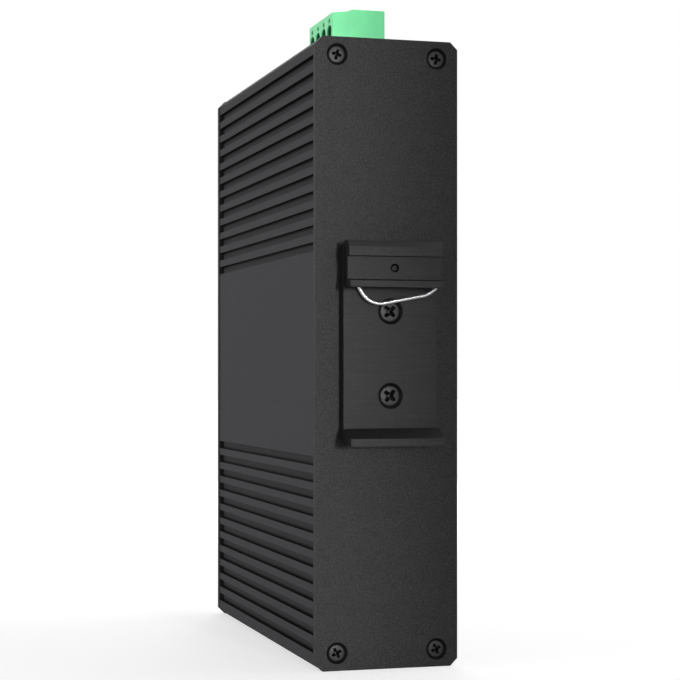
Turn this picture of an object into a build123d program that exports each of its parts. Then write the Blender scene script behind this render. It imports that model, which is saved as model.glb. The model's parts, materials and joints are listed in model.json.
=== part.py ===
"""Slim Ethernet switch for a 35 mm mounting rail, in millimetres.

+Z is up, the rear plate with the rail clip faces +Y, the front plate with the
sockets faces -Y. The origin lies on the clip's face that seats on the rail, in
the middle of the clip's width and at the height of the rail's centreline.
"""
from build123d import *
import os

os.makedirs("parts", exist_ok=True)

# Case
CASE_WIDTH = 35.6
CASE_HEIGHT = 150.0
CASE_DEPTH = 102.0
PLATE_THICKNESS = 1.8
PLATE_OVERHANG = 0.2
CORNER_CHAMFER = 1.8
SIDE_WALL = 2.8
TOP_WALL = 2.0
SLEEVE_CHAMFER = 1.6

# Grooves along both sides of the sleeve
GROOVE_PITCH = 4.04
GROOVE_WIDTH = 2.1
GROOVE_DEPTH = 1.2
GROOVE_COUNT = 12
GROOVE_MARGIN = 3.9

# Corner screws and the channels that they cut their thread in
CORNER_SCREW_INSET_X = 5.35
CORNER_SCREW_INSET_Z = 4.2
CORNER_SCREW_RADIUS = 1.25
CORNER_SCREW_HEAD_RADIUS = 2.15
CORNER_SCREW_LENGTH = 9.0
CORNER_HOLE_RADIUS = 1.4
CORNER_SINK_RADIUS = 2.6
THREAD_CLEARANCE = 0.05
CHANNEL_WALL = 1.1
CHANNEL_WEB = 0.6

# Rail and clip, as the clip's section from the rail outwards
RAIL_WIDTH = 35.0
RAIL_BELOW_MIDDLE = 1.1
CLIP_WIDTH = 23.4
CLIP_BASE = 2.45
LOWER_SLOT = 1.45
LOWER_GRIP = 1.0
LIP_REACH = 5.95
LIP_RAMP_DROP = 2.3
LIP_FACE = 1.85
LIP_HEEL = 2.65
LIP_UNDER = 2.2
BASE_UNDER = 1.8
UPPER_SLOT = 2.15
UPPER_GRIP = 0.9
UPPER_PLAY = 2.1
NOSE_REACH = 5.6
NOSE_FACE = 1.5
NOSE_SLOPE = 0.4
RECESS_REACH = 3.25
BROW_REACH = 4.6
BROW_ABOVE_RAIL = 6.4
BLOCK_ABOVE_RAIL = 10.1
BLOCK_CHAMFER = 1.5
BLOCK_TOP_REACH = 1.35
BLOCK_TOP_SLOPE = 1.2
WIRE_SLOT = 1.1
WIRE_SLOT_REACH = 0.6
WIRE_SLOT_ROOF = 1.4

# Clip screws, pin and wire
CLIP_SCREW_PITCH = 20.0
CLIP_SCREW_RADIUS = 1.5
CLIP_SCREW_HEAD_RADIUS = 2.6
CLIP_SCREW_LENGTH = 8.0
CLIP_HOLE_RADIUS = 1.7
CLIP_SINK_RADIUS = 3.1
NUT_ACROSS_FLATS = 5.5
NUT_THICKNESS = 2.4
PIN_RADIUS = 0.7
PIN_ABOVE_RAIL = 3.7
PIN_END_DEPTH = 0.4
PIN_FOOT = 1.65
PIN_CLEARANCE = 0.02
PIN_WELL_RADIUS = 1.02
WIRE_RADIUS = 0.475
WIRE_OVER_PIN = 0.3
WIRE_END_GAP = 1.3
WIRE_LEFT_X = 8.2
WIRE_RIGHT_X = -11.1
WIRE_LEFT_KNEE = 1.2
WIRE_RIGHT_KNEE = 0.7
WIRE_BOW_LEFT = (5.0, 4.75)
WIRE_BOW_LOW = (2.9, 4.8)
WIRE_BOW_RIGHT = (-9.0, 2.25)
WIRE_RADII = (1.2, 2.5, 2.5, 6.0, 4.0, 1.6, 1.2)

# Board and what guides it
BOARD_THICKNESS = 1.6
BOARD_SLOT_GAP = 0.15
BOARD_EDGE_GAP = 0.3
GUIDE_THICKNESS = 1.2
GUIDE_HEIGHT = 2.2
FILM_THICKNESS = 0.3
FILM_GAP = 0.05
FILM_MARGIN = 7.0

# Sockets, four in a block
PORT_PITCH = 14.0
PORT_END_WALL = 0.4
PORT_HEIGHT = 13.2
PORT_DEPTH = 16.5
PORT_INSET = 0.2
PORT_FLOOR = 2.4
PORT_OPENING_WIDTH = 11.9
PORT_OPENING_HEIGHT = 7.0
PORT_OPENING_DEPTH = 12.5
LATCH_WIDTH = 6.4
LATCH_HEIGHT = 1.5
LATCH_STEP_WIDTH = 3.6
LATCH_STEP_HEIGHT = 1.4
CONTACT_PITCH = 1.02
CONTACT_COUNT = 8
CONTACT_WIRE = 0.38
CONTACT_RISE = 2.2
CONTACT_TIP_GAP = 0.15
CONTACT_TIP_DEPTH = 3.8
CONTACT_BEND_DEPTH = 9.0
PORT_LAMP_WIDTH = 2.6
PORT_LAMP_HEIGHT = 1.5
PORT_LAMP_LIFT = 0.45
PORT_LAMP_SPREAD = 8.4
PORT_LAMP_GAP = 0.05
SHIELD_THICKNESS = 0.25
SHIELD_GAP = 0.05
WINDOW_GAP = 0.25
UPPER_BLOCK_BELOW_TOP = 22.1
BLOCK_GAP = 1.7
BLOCK_MARGIN = 5.0

# Status lamps above the sockets
LAMP_COUNT = 3
LAMP_PITCH = 5.0
LAMP_RADIUS = 1.5
LAMP_HOLE_GAP = 0.15
LAMP_PROUD = 0.5
LAMP_LENGTH = 6.0
LAMP_BORE_GAP = 0.05
LAMP_BELOW_TOP = 13.0
LAMP_ABOVE_BOARD = 4.2
LAMP_HOLDER_HEIGHT = 6.6
LAMP_HOLDER_DEPTH = 7.0
LAMP_HOLDER_END = 2.6
LAMP_HOLDER_GAP = 0.2

# Power plug and its header
POLE_COUNT = 4
POLE_PITCH = 5.08
PLUG_END = 0.14
PLUG_REAR_INSET = 26.0
PLUG_ABOVE_CASE = 12.4
PLUG_THICKNESS = 14.0
PLUG_BOARD_GAP = 0.1
PLUG_SHELF_WIDTH = 3.9
PLUG_SHELF_LOW = 1.0
PLUG_SHELF_HIGH = 0.55
PLUG_STEP_WIDTH = 1.6
PLUG_HEEL_CHAMFER = 1.0
CONTACT_BLOCK_THICKNESS = 7.2
CONTACT_BLOCK_DEPTH = 6.8
CONTACT_BLOCK_INSET = 0.4
HEADER_ABOVE_CASE = 1.4
HEADER_WALL = 0.8
HEADER_END_WALL = 1.1
HEADER_GAP = 0.1
HEADER_FLOOR = 2.4
HEADER_FLOOR_GAP = 0.3
HEADER_CUT_GAP = 0.3
PIN_SIZE = 1.0
PIN_ABOVE_BOARD = 4.2
PIN_BELOW_CASE_TOP = 0.3
PIN_HOLE_GAP = 0.05
PIN_LEG_DROP = 0.7
PIN_TAIL = 1.4
PIN_BOARD_HOLE_RADIUS = 0.8

# Clamps inside the plug
SCREW_AXIS_BELOW_TOP = 5.6
WELL_RADIUS = 1.9
CLAMP_SHANK_RADIUS = 1.25
CLAMP_HEAD_RADIUS = 1.75
CLAMP_HEAD_HEIGHT = 1.35
CLAMP_HEAD_SEAT_GAP = 0.05
CLAMP_SLOT_WIDTH = 0.6
CLAMP_SLOT_DEPTH = 0.6
SHOULDER_THICKNESS = 0.8
SHANK_HOLE_GAP = 0.1
BAR_THICKNESS = 0.6
BAR_FROM_PIN = 1.5
BAR_WIDTH = 2.4
SCREW_TIP_GAP = 0.05
CAGE_WIDTH = 3.9
CAGE_HEIGHT = 4.2
CAGE_NUT_WALL = 1.1
CAGE_JAW_WALL = 0.8
CAGE_NUT_FROM_BAR = 1.1
CAGE_JAW_FROM_BAR = 3.0
CAGE_SIDE_WALL = 0.45
CAGE_GAP = 0.1
CAGE_END_GAP = 0.2
CAGE_TRAVEL = 2.0
LEAF_THICKNESS = 0.6
LEAF_PIN_GAP = 0.1
LEAF_TIP_GAP = 0.7
BRIDGE_THICKNESS = 0.6
BRIDGE_OVER_PIN = 0.9
BAR_TOP_GAP = 0.1
CONTACT_SLOT_GAP = 0.1
ENTRY_WIDTH = 3.2
ENTRY_CHAMFER = 0.4
NOTCH_BELOW_SHELF = 1.2
NOTCH_HEIGHT = 1.0
NOTCH_WIDTH = 1.4
NOTCH_DEPTH = 0.6

# Earth screw on the top
EARTH_REAR_INSET = 60.0
EARTH_RADIUS = 1.5
EARTH_HEAD_RADIUS = 2.8
EARTH_HEAD_HEIGHT = 2.0
EARTH_HEAD_ROUND = 0.8
EARTH_LENGTH = 6.0
WASHER_RADIUS = 3.5
WASHER_THICKNESS = 0.6
WASHER_HOLE_GAP = 0.1

# Cross recesses, as arm length, arm width, depth and the turn of the arms in degrees
CORNER_RECESS = (2.7, 0.75, 0.9, -15)
CLIP_RECESS = (3.2, 0.85, 1.1, 45)
EARTH_RECESS = (3.2, 0.85, 1.2, 30)
RECESS_TAPER = 12.0

# Parts on the board, as sizes along the depth, the height and off the board
CHIP_SIZE = (20.0, 20.0, 1.5)
CHIP_BELOW_TOP = 85.0
PAD_THICKNESS = 0.5
PAD_MARGIN = 0.5
SINK_SIZE = (22.0, 22.0, 2.5)
SINK_FIN_HEIGHT = 6.0
SINK_FIN_WIDTH = 1.0
SINK_FIN_COUNT = 6
SINK_FROM_MAGNETICS = 12.0
MAGNETICS_SIZE = (7.0, 12.6, 5.6)
MAGNETICS_GAP = 3.0
INDUCTOR_SIZE = (10.0, 10.0, 4.4)
INDUCTOR_PITCH = 13.0
INDUCTOR_FROM_REAR = 30.0
INDUCTOR_BELOW_TOP = 53.0
INDUCTOR_CORE_RADIUS = 3.6
CAPACITOR_RADIUS = 4.0
CAPACITOR_HEIGHT = 10.2
CAPACITOR_GROOVE = 0.3
CAPACITOR_PITCH = 10.0
CAPACITOR_COUNT = 3
CAPACITOR_FROM_REAR = 24.0
CAPACITOR_BELOW_TOP = 35.0
FUSE_RADIUS = 4.2
FUSE_HEIGHT = 7.6
FUSE_FROM_REAR = 48.0
FUSE_BELOW_TOP = 23.0
CRYSTAL_LENGTH = 11.0
CRYSTAL_WIDTH = 4.6
CRYSTAL_HEIGHT = 3.6
CRYSTAL_FROM_CHIP = 18.0

# Places worked out from the sizes
MIDDLE_Z = RAIL_BELOW_MIDDLE
CASE_TOP_Z = MIDDLE_Z + CASE_HEIGHT / 2
REAR_Y = -CLIP_BASE
REAR_INNER_Y = REAR_Y - PLATE_THICKNESS
FRONT_Y = REAR_Y - CASE_DEPTH
FRONT_INNER_Y = FRONT_Y + PLATE_THICKNESS
SLEEVE_WIDTH = CASE_WIDTH - 2 * PLATE_OVERHANG
SLEEVE_HEIGHT = CASE_HEIGHT - 2 * PLATE_OVERHANG
SLEEVE_LENGTH = CASE_DEPTH - 2 * PLATE_THICKNESS
SLEEVE_TOP_Z = CASE_TOP_Z - PLATE_OVERHANG
CAVITY_WIDTH = SLEEVE_WIDTH - 2 * SIDE_WALL
CAVITY_HEIGHT = SLEEVE_HEIGHT - 2 * TOP_WALL
CORNER_SPACING_X = CASE_WIDTH - 2 * CORNER_SCREW_INSET_X
CORNER_SPACING_Z = CASE_HEIGHT - 2 * CORNER_SCREW_INSET_Z
CHANNEL_RADIUS = CORNER_SCREW_RADIUS + THREAD_CLEARANCE
BOSS_RADIUS = CHANNEL_RADIUS + CHANNEL_WALL
BOARD_BACK_X = -(CORNER_SPACING_X / 2 - BOSS_RADIUS - BOARD_SLOT_GAP)
BOARD_FACE_X = BOARD_BACK_X + BOARD_THICKNESS
RAIL_TOP_Z = RAIL_WIDTH / 2
RAIL_LOW_Z = -RAIL_WIDTH / 2
WIRE_PLANE_Y = WIRE_SLOT_REACH + WIRE_SLOT / 2
SLOT_ROOF_Z = RAIL_TOP_Z + UPPER_PLAY
BLOCK_TOP_Z = RAIL_TOP_Z + BLOCK_ABOVE_RAIL
PIN_Z = RAIL_TOP_Z + PIN_ABOVE_RAIL
PLUG_LENGTH = POLE_COUNT * POLE_PITCH + 2 * PLUG_END
PLUG_REAR_Y = REAR_Y - PLUG_REAR_INSET
PLUG_MIDDLE_Y = PLUG_REAR_Y - PLUG_LENGTH / 2
POLE_YS = [PLUG_MIDDLE_Y + POLE_PITCH * ((POLE_COUNT - 1) / 2 - i) for i in range(POLE_COUNT)]
PLUG_BACK_X = BOARD_FACE_X + PLUG_BOARD_GAP
PLUG_FACE_X = PLUG_BACK_X + PLUG_THICKNESS
PLUG_TOP_Z = CASE_TOP_Z + PLUG_ABOVE_CASE
HEADER_TOP_Z = CASE_TOP_Z + HEADER_ABOVE_CASE
BLOCK_BACK_X = BOARD_FACE_X + HEADER_WALL + HEADER_GAP
HEADER_CAVITY_WIDTH = CONTACT_BLOCK_THICKNESS + 2 * HEADER_GAP
HEADER_CAVITY_LENGTH = PLUG_LENGTH - 2 * CONTACT_BLOCK_INSET + 2 * HEADER_GAP
HEADER_CAVITY_DEPTH = CONTACT_BLOCK_DEPTH + HEADER_FLOOR_GAP
HEADER_WIDTH = HEADER_CAVITY_WIDTH + 2 * HEADER_WALL
HEADER_LENGTH = HEADER_CAVITY_LENGTH + 2 * HEADER_END_WALL
HEADER_HEIGHT = HEADER_CAVITY_DEPTH + HEADER_FLOOR
HEADER_MIDDLE_X = BOARD_FACE_X + HEADER_WIDTH / 2
HEADER_LOW_Z = HEADER_TOP_Z - HEADER_HEIGHT
CONTACT_BLOCK_LOW_Z = HEADER_TOP_Z - CONTACT_BLOCK_DEPTH
PIN_X = BOARD_FACE_X + PIN_ABOVE_BOARD
PIN_TOP_Z = CASE_TOP_Z - PIN_BELOW_CASE_TOP
PIN_LEG_Z = HEADER_LOW_Z - PIN_LEG_DROP - PIN_SIZE / 2
SCREW_AXIS_Z = PLUG_TOP_Z - SCREW_AXIS_BELOW_TOP
BAR_BACK_X = PIN_X + BAR_FROM_PIN
BAR_FRONT_X = BAR_BACK_X + BAR_THICKNESS
JAW_X = BAR_BACK_X - CAGE_JAW_FROM_BAR
CAGE_BACK_X = JAW_X - CAGE_JAW_WALL
CAGE_NUT_X = BAR_FRONT_X + CAGE_NUT_FROM_BAR
CAGE_FRONT_X = CAGE_NUT_X + CAGE_NUT_WALL
CAGE_ROOM_BACK_X = CAGE_BACK_X - CAGE_END_GAP
CAGE_ROOM_FRONT_X = CAGE_FRONT_X + CAGE_TRAVEL + CAGE_END_GAP
CAGE_ROOM_LOW_Z = SCREW_AXIS_Z - CAGE_HEIGHT / 2 - CAGE_GAP
CAGE_ROOM_TOP_Z = SCREW_AXIS_Z + CAGE_HEIGHT / 2 + CAGE_GAP
HEAD_SEAT_X = CAGE_ROOM_FRONT_X + SHOULDER_THICKNESS
HEAD_TOP_X = HEAD_SEAT_X + CLAMP_HEAD_SEAT_GAP + CLAMP_HEAD_HEIGHT
SCREW_TIP_X = BAR_FRONT_X + SCREW_TIP_GAP
BRIDGE_LOW_Z = PIN_TOP_Z + BRIDGE_OVER_PIN
BRIDGE_TOP_Z = BRIDGE_LOW_Z + BRIDGE_THICKNESS
LEAF_LOW_Z = HEADER_TOP_Z - CONTACT_BLOCK_DEPTH + LEAF_TIP_GAP
LEFT_LEAF_X = PIN_X - PIN_SIZE / 2 - LEAF_PIN_GAP
RIGHT_LEAF_X = PIN_X + PIN_SIZE / 2 + LEAF_PIN_GAP
EARTH_Y = REAR_Y - EARTH_REAR_INSET
PORT_FRONT_Y = FRONT_Y + PORT_INSET
BLOCK_ROOM = (CASE_HEIGHT - UPPER_BLOCK_BELOW_TOP - BLOCK_GAP - BLOCK_MARGIN) / 2
PORT_COUNT = int((BLOCK_ROOM - 2 * PORT_END_WALL) // PORT_PITCH)
BLOCK_LENGTH = PORT_COUNT * PORT_PITCH + 2 * PORT_END_WALL
UPPER_BLOCK_Z = CASE_TOP_Z - UPPER_BLOCK_BELOW_TOP - BLOCK_LENGTH / 2
PORT_BLOCKS = {
    "lower": UPPER_BLOCK_Z - BLOCK_GAP - BLOCK_LENGTH,
    "upper": UPPER_BLOCK_Z,
}
LAMP_X = BOARD_FACE_X + LAMP_ABOVE_BOARD
LAMP_Z = CASE_TOP_Z - LAMP_BELOW_TOP
SHELL_GROWTH = SHIELD_GAP + SHIELD_THICKNESS


def across(y):
    """Plane across the case at depth y, facing the front plate, drawn in x and z."""
    return Plane.XZ.offset(-y)


def beside(x):
    """Upright plane along the case at x, facing +X, drawn in y and z."""
    return Plane.YZ.offset(x)


def level(z):
    """Level plane at height z, facing up, drawn in x and y."""
    return Plane.XY.offset(z)


def rearwards(x, y, z):
    """Frame of a piece that enters from the rear, its own +Z towards +Y."""
    return Plane(origin=(x, y, z), x_dir=(-1, 0, 0), z_dir=(0, 1, 0))


def forwards(x, y, z):
    """Frame of a piece that enters from the front, its own +Z towards -Y."""
    return Plane(origin=(x, y, z), x_dir=(1, 0, 0), z_dir=(0, -1, 0))


def port_centres(block_z):
    """Heights of the socket centres of one block."""
    return [block_z + PORT_PITCH * (i - (PORT_COUNT - 1) / 2) for i in range(PORT_COUNT)]


def cut_cross(plane, recess):
    """Cuts a cross recess with tapered arms into the part being built."""
    arm, width, depth, turn = recess
    with BuildSketch(plane) as cross:
        Rectangle(arm, width, rotation=turn)
        Rectangle(width, arm, rotation=turn)
    extrude(cross.sketch, amount=-depth, taper=RECESS_TAPER, mode=Mode.SUBTRACT)


def countersunk_screw(head_radius, shank_radius, length, recess):
    """Countersunk screw with its head's face at the origin and its tip down."""
    cone = head_radius - shank_radius
    with BuildPart() as screw:
        with BuildSketch(Plane.XZ):
            with BuildLine():
                Polyline(
                    (0, 0),
                    (head_radius, 0),
                    (shank_radius, -cone),
                    (shank_radius, -length),
                    (0, -length),
                    close=True,
                )
            make_face()
        revolve(axis=Axis.Z)
        cut_cross(Plane.XY, recess)
    return screw.part


# Housing sleeve: one extrusion with grooved sides, screw channels and board guides
with BuildPart() as housing_sleeve:
    with BuildSketch(across(REAR_INNER_Y)):
        with Locations((0, MIDDLE_Z)):
            Rectangle(SLEEVE_WIDTH, SLEEVE_HEIGHT)
        chamfer(vertices(), SLEEVE_CHAMFER)
        with Locations((0, MIDDLE_Z)):
            Rectangle(CAVITY_WIDTH, CAVITY_HEIGHT, mode=Mode.SUBTRACT)
            web_width = (CAVITY_WIDTH - CORNER_SPACING_X) / 2 + CHANNEL_WEB
            web_height = (CAVITY_HEIGHT - CORNER_SPACING_Z) / 2 + CHANNEL_WEB
            web_spacing_x = CORNER_SPACING_X + web_width
            web_spacing_z = CORNER_SPACING_Z + web_height
            with GridLocations(web_spacing_x, web_spacing_z, 2, 2):
                Rectangle(web_width, web_height)
            with GridLocations(CORNER_SPACING_X, CORNER_SPACING_Z, 2, 2):
                Circle(BOSS_RADIUS)
            with GridLocations(CORNER_SPACING_X, CORNER_SPACING_Z, 2, 2):
                Circle(CHANNEL_RADIUS, mode=Mode.SUBTRACT)
            guide_x = BOARD_FACE_X + BOARD_SLOT_GAP + GUIDE_THICKNESS / 2
            guide_spacing = CAVITY_HEIGHT + CHANNEL_WEB - GUIDE_HEIGHT
            with Locations((guide_x, 0)):
                with GridLocations(0, guide_spacing, 1, 2):
                    Rectangle(GUIDE_THICKNESS, GUIDE_HEIGHT + CHANNEL_WEB)
            band_length = (GROOVE_COUNT - 1) * GROOVE_PITCH + GROOVE_WIDTH
            band_spacing = SLEEVE_HEIGHT - 2 * GROOVE_MARGIN - band_length
            with GridLocations(SLEEVE_WIDTH, band_spacing, 2, 2):
                with GridLocations(0, GROOVE_PITCH, 1, GROOVE_COUNT):
                    Rectangle(2 * GROOVE_DEPTH, GROOVE_WIDTH, mode=Mode.SUBTRACT)
    extrude(amount=SLEEVE_LENGTH)
    cut_depth = PLATE_OVERHANG + TOP_WALL + GUIDE_HEIGHT + HEADER_CUT_GAP
    with BuildSketch(level(CASE_TOP_Z)):
        with Locations((HEADER_MIDDLE_X, PLUG_MIDDLE_Y)):
            Rectangle(HEADER_WIDTH + 2 * HEADER_CUT_GAP, HEADER_LENGTH + 2 * HEADER_CUT_GAP)
    extrude(amount=-cut_depth, mode=Mode.SUBTRACT)
    with BuildSketch(level(CASE_TOP_Z)):
        with Locations((0, EARTH_Y)):
            Circle(EARTH_RADIUS + THREAD_CLEARANCE)
    extrude(amount=-(PLATE_OVERHANG + TOP_WALL + CHANNEL_WEB), mode=Mode.SUBTRACT)
housing_sleeve.part.label = "housing_sleeve"
export_step(housing_sleeve.part, "parts/housing_sleeve.step")

# Rear plate: countersunk at the corners, drilled for the clip's screws
with BuildPart() as rear_plate:
    with BuildSketch(across(REAR_Y)):
        with Locations((0, MIDDLE_Z)):
            Rectangle(CASE_WIDTH, CASE_HEIGHT)
        chamfer(vertices(), CORNER_CHAMFER)
        with Locations((0, MIDDLE_Z)):
            with GridLocations(0, CLIP_SCREW_PITCH, 1, 2):
                Circle(CLIP_HOLE_RADIUS, mode=Mode.SUBTRACT)
    extrude(amount=PLATE_THICKNESS)
    with Locations(rearwards(0, REAR_Y, MIDDLE_Z)):
        with GridLocations(CORNER_SPACING_X, CORNER_SPACING_Z, 2, 2):
            CounterSinkHole(CORNER_HOLE_RADIUS, CORNER_SINK_RADIUS, PLATE_THICKNESS, 90)
rear_plate.part.label = "rear_plate"
export_step(rear_plate.part, "parts/rear_plate.step")

# Front plate: windows for the socket blocks and round holes for the lamps
with BuildPart() as front_plate:
    with BuildSketch(across(FRONT_INNER_Y)):
        with Locations((0, MIDDLE_Z)):
            Rectangle(CASE_WIDTH, CASE_HEIGHT)
        chamfer(vertices(), CORNER_CHAMFER)
        window_width = PORT_HEIGHT + SHELL_GROWTH + 2 * WINDOW_GAP
        window_height = BLOCK_LENGTH + 2 * (SHELL_GROWTH + WINDOW_GAP)
        for block_z in PORT_BLOCKS.values():
            with Locations((BOARD_FACE_X - WINDOW_GAP, block_z)):
                Rectangle(
                    window_width,
                    window_height,
                    align=(Align.MIN, Align.CENTER),
                    mode=Mode.SUBTRACT,
                )
        with Locations((LAMP_X, LAMP_Z)):
            with GridLocations(0, LAMP_PITCH, 1, LAMP_COUNT):
                Circle(LAMP_RADIUS + LAMP_HOLE_GAP, mode=Mode.SUBTRACT)
    extrude(amount=PLATE_THICKNESS)
    with Locations(forwards(0, FRONT_Y, MIDDLE_Z)):
        with GridLocations(CORNER_SPACING_X, CORNER_SPACING_Z, 2, 2):
            CounterSinkHole(CORNER_HOLE_RADIUS, CORNER_SINK_RADIUS, PLATE_THICKNESS, 90)
front_plate.part.label = "front_plate"
export_step(front_plate.part, "parts/front_plate.step")

# Corner screws, sunk into both plates
corner_screw = countersunk_screw(
    CORNER_SCREW_HEAD_RADIUS, CORNER_SCREW_RADIUS, CORNER_SCREW_LENGTH, CORNER_RECESS
)
corner_sink = CORNER_SINK_RADIUS - CORNER_SCREW_HEAD_RADIUS - THREAD_CLEARANCE

with BuildPart() as rear_plate_screws:
    with Locations(rearwards(0, REAR_Y - corner_sink, MIDDLE_Z)):
        with GridLocations(CORNER_SPACING_X, CORNER_SPACING_Z, 2, 2):
            add(corner_screw)
rear_plate_screws.part.label = "rear_plate_screws"
export_step(rear_plate_screws.part, "parts/rear_plate_screws.step")

with BuildPart() as front_plate_screws:
    with Locations(forwards(0, FRONT_Y + corner_sink, MIDDLE_Z)):
        with GridLocations(CORNER_SPACING_X, CORNER_SPACING_Z, 2, 2):
            add(corner_screw)
front_plate_screws.part.label = "front_plate_screws"
export_step(front_plate_screws.part, "parts/front_plate_screws.step")

# Rail clip: one extruded section with a fixed lower lip and a slotted upper block
lip_tip_z = RAIL_LOW_Z + LOWER_GRIP
lip_front_z = lip_tip_z - LIP_RAMP_DROP
base_low_z = RAIL_LOW_Z - BASE_UNDER
nose_low_z = RAIL_TOP_Z - UPPER_GRIP
nose_top_z = nose_low_z + NOSE_FACE
brow_z = RAIL_TOP_Z + BROW_ABOVE_RAIL
with BuildPart() as din_clip:
    with BuildSketch(beside(-CLIP_WIDTH / 2)):
        with BuildLine():
            Polyline(
                (REAR_Y, base_low_z),
                (LIP_HEEL, RAIL_LOW_Z - LIP_UNDER),
                (LIP_REACH, lip_front_z - LIP_FACE),
                (LIP_REACH, lip_front_z),
                (LOWER_SLOT, lip_tip_z),
                (LOWER_SLOT, RAIL_LOW_Z),
                (0, RAIL_LOW_Z),
                (0, SLOT_ROOF_Z),
                (WIRE_SLOT_REACH, SLOT_ROOF_Z),
                (WIRE_SLOT_REACH, BLOCK_TOP_Z - WIRE_SLOT_ROOF),
                (WIRE_SLOT_REACH + WIRE_SLOT, BLOCK_TOP_Z - WIRE_SLOT_ROOF),
                (WIRE_SLOT_REACH + WIRE_SLOT, SLOT_ROOF_Z),
                (UPPER_SLOT, SLOT_ROOF_Z),
                (UPPER_SLOT, nose_low_z),
                (NOSE_REACH, nose_low_z),
                (NOSE_REACH, nose_top_z),
                (RECESS_REACH, nose_top_z + NOSE_SLOPE),
                (RECESS_REACH, brow_z),
                (BROW_REACH, brow_z),
                (BROW_REACH, BLOCK_TOP_Z - BLOCK_CHAMFER),
                (BROW_REACH - BLOCK_CHAMFER, BLOCK_TOP_Z),
                (BLOCK_TOP_REACH, BLOCK_TOP_Z),
                (REAR_Y, BLOCK_TOP_Z - BLOCK_TOP_SLOPE),
                close=True,
            )
        make_face()
    extrude(amount=CLIP_WIDTH)
    with Locations(rearwards(0, 0, MIDDLE_Z)):
        with GridLocations(0, CLIP_SCREW_PITCH, 1, 2):
            CounterSinkHole(CLIP_HOLE_RADIUS, CLIP_SINK_RADIUS, CLIP_BASE, 90)
    with Locations(rearwards(0, RECESS_REACH, PIN_Z)):
        CounterBoreHole(
            PIN_RADIUS + PIN_CLEARANCE,
            PIN_WELL_RADIUS,
            RECESS_REACH - WIRE_SLOT_REACH - WIRE_SLOT,
            RECESS_REACH + PIN_FOOT,
        )
din_clip.part.label = "din_clip"
export_step(din_clip.part, "parts/din_clip.step")

# Pin that traps the wire's two ends in the block
with BuildPart() as clip_pin:
    with BuildSketch(across(RECESS_REACH - PIN_END_DEPTH)):
        with Locations((0, PIN_Z)):
            Circle(PIN_RADIUS)
    extrude(amount=RECESS_REACH - PIN_END_DEPTH + PIN_FOOT)
    chamfer(faces().sort_by(Axis.Y)[-1].edges(), PIN_RADIUS / 4)
clip_pin.part.label = "clip_pin"
export_step(clip_pin.part, "parts/clip_pin.step")

# Wire spring: a bow below the block, its two ends turned in above the pin
wire_top_z = PIN_Z + PIN_RADIUS + WIRE_OVER_PIN + WIRE_RADIUS
with BuildPart() as clip_spring:
    with BuildLine(across(WIRE_PLANE_Y)) as wire_line:
        FilletPolyline(
            (WIRE_END_GAP, wire_top_z),
            (WIRE_LEFT_X, wire_top_z),
            (WIRE_LEFT_X, RAIL_TOP_Z - WIRE_LEFT_KNEE),
            (WIRE_BOW_LEFT[0], RAIL_TOP_Z - WIRE_BOW_LEFT[1]),
            (WIRE_BOW_LOW[0], RAIL_TOP_Z - WIRE_BOW_LOW[1]),
            (WIRE_BOW_RIGHT[0], RAIL_TOP_Z - WIRE_BOW_RIGHT[1]),
            (WIRE_RIGHT_X, RAIL_TOP_Z - WIRE_RIGHT_KNEE),
            (WIRE_RIGHT_X, wire_top_z),
            (-WIRE_END_GAP, wire_top_z),
            radius=WIRE_RADII,
        )
    with BuildSketch(Plane(origin=wire_line.line @ 0, z_dir=wire_line.line % 0)):
        Circle(WIRE_RADIUS)
    sweep()
clip_spring.part.label = "clip_spring"
export_step(clip_spring.part, "parts/clip_spring.step")

# Clip screws and the nuts that they enter behind the rear plate
clip_screw = countersunk_screw(
    CLIP_SCREW_HEAD_RADIUS, CLIP_SCREW_RADIUS, CLIP_SCREW_LENGTH, CLIP_RECESS
)
clip_sink = CLIP_SINK_RADIUS - CLIP_SCREW_HEAD_RADIUS - THREAD_CLEARANCE
with BuildPart() as clip_screws:
    with Locations(rearwards(0, -clip_sink, MIDDLE_Z)):
        with GridLocations(0, CLIP_SCREW_PITCH, 1, 2):
            add(clip_screw)
clip_screws.part.label = "clip_screws"
export_step(clip_screws.part, "parts/clip_screws.step")

with BuildPart() as clip_nuts:
    with BuildSketch(across(REAR_INNER_Y)):
        with Locations((0, MIDDLE_Z)):
            with GridLocations(0, CLIP_SCREW_PITCH, 1, 2):
                RegularPolygon(NUT_ACROSS_FLATS / 2, 6, major_radius=False)
                Circle(CLIP_SCREW_RADIUS + THREAD_CLEARANCE, mode=Mode.SUBTRACT)
    extrude(amount=NUT_THICKNESS)
clip_nuts.part.label = "clip_nuts"
export_step(clip_nuts.part, "parts/clip_nuts.step")

# Earth screw and washer on the top wall
with BuildPart() as earth_washer:
    with BuildSketch(level(SLEEVE_TOP_Z)):
        with Locations((0, EARTH_Y)):
            Circle(WASHER_RADIUS)
            Circle(EARTH_RADIUS + WASHER_HOLE_GAP, mode=Mode.SUBTRACT)
    extrude(amount=WASHER_THICKNESS)
earth_washer.part.label = "earth_washer"
export_step(earth_washer.part, "parts/earth_washer.step")

head_low_z = SLEEVE_TOP_Z + WASHER_THICKNESS
head_top_z = head_low_z + EARTH_HEAD_HEIGHT
with BuildPart() as earth_screw:
    with BuildSketch(level(head_low_z)):
        with Locations((0, EARTH_Y)):
            Circle(EARTH_HEAD_RADIUS)
    extrude(amount=EARTH_HEAD_HEIGHT)
    fillet(edges().sort_by(Axis.Z)[-1], EARTH_HEAD_ROUND)
    with BuildSketch(level(head_low_z)):
        with Locations((0, EARTH_Y)):
            Circle(EARTH_RADIUS)
    extrude(amount=-EARTH_LENGTH)
    cut_cross(Plane(origin=(0, EARTH_Y, head_top_z)), EARTH_RECESS)
earth_screw.part.label = "earth_screw"
export_step(earth_screw.part, "parts/earth_screw.step")

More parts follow.
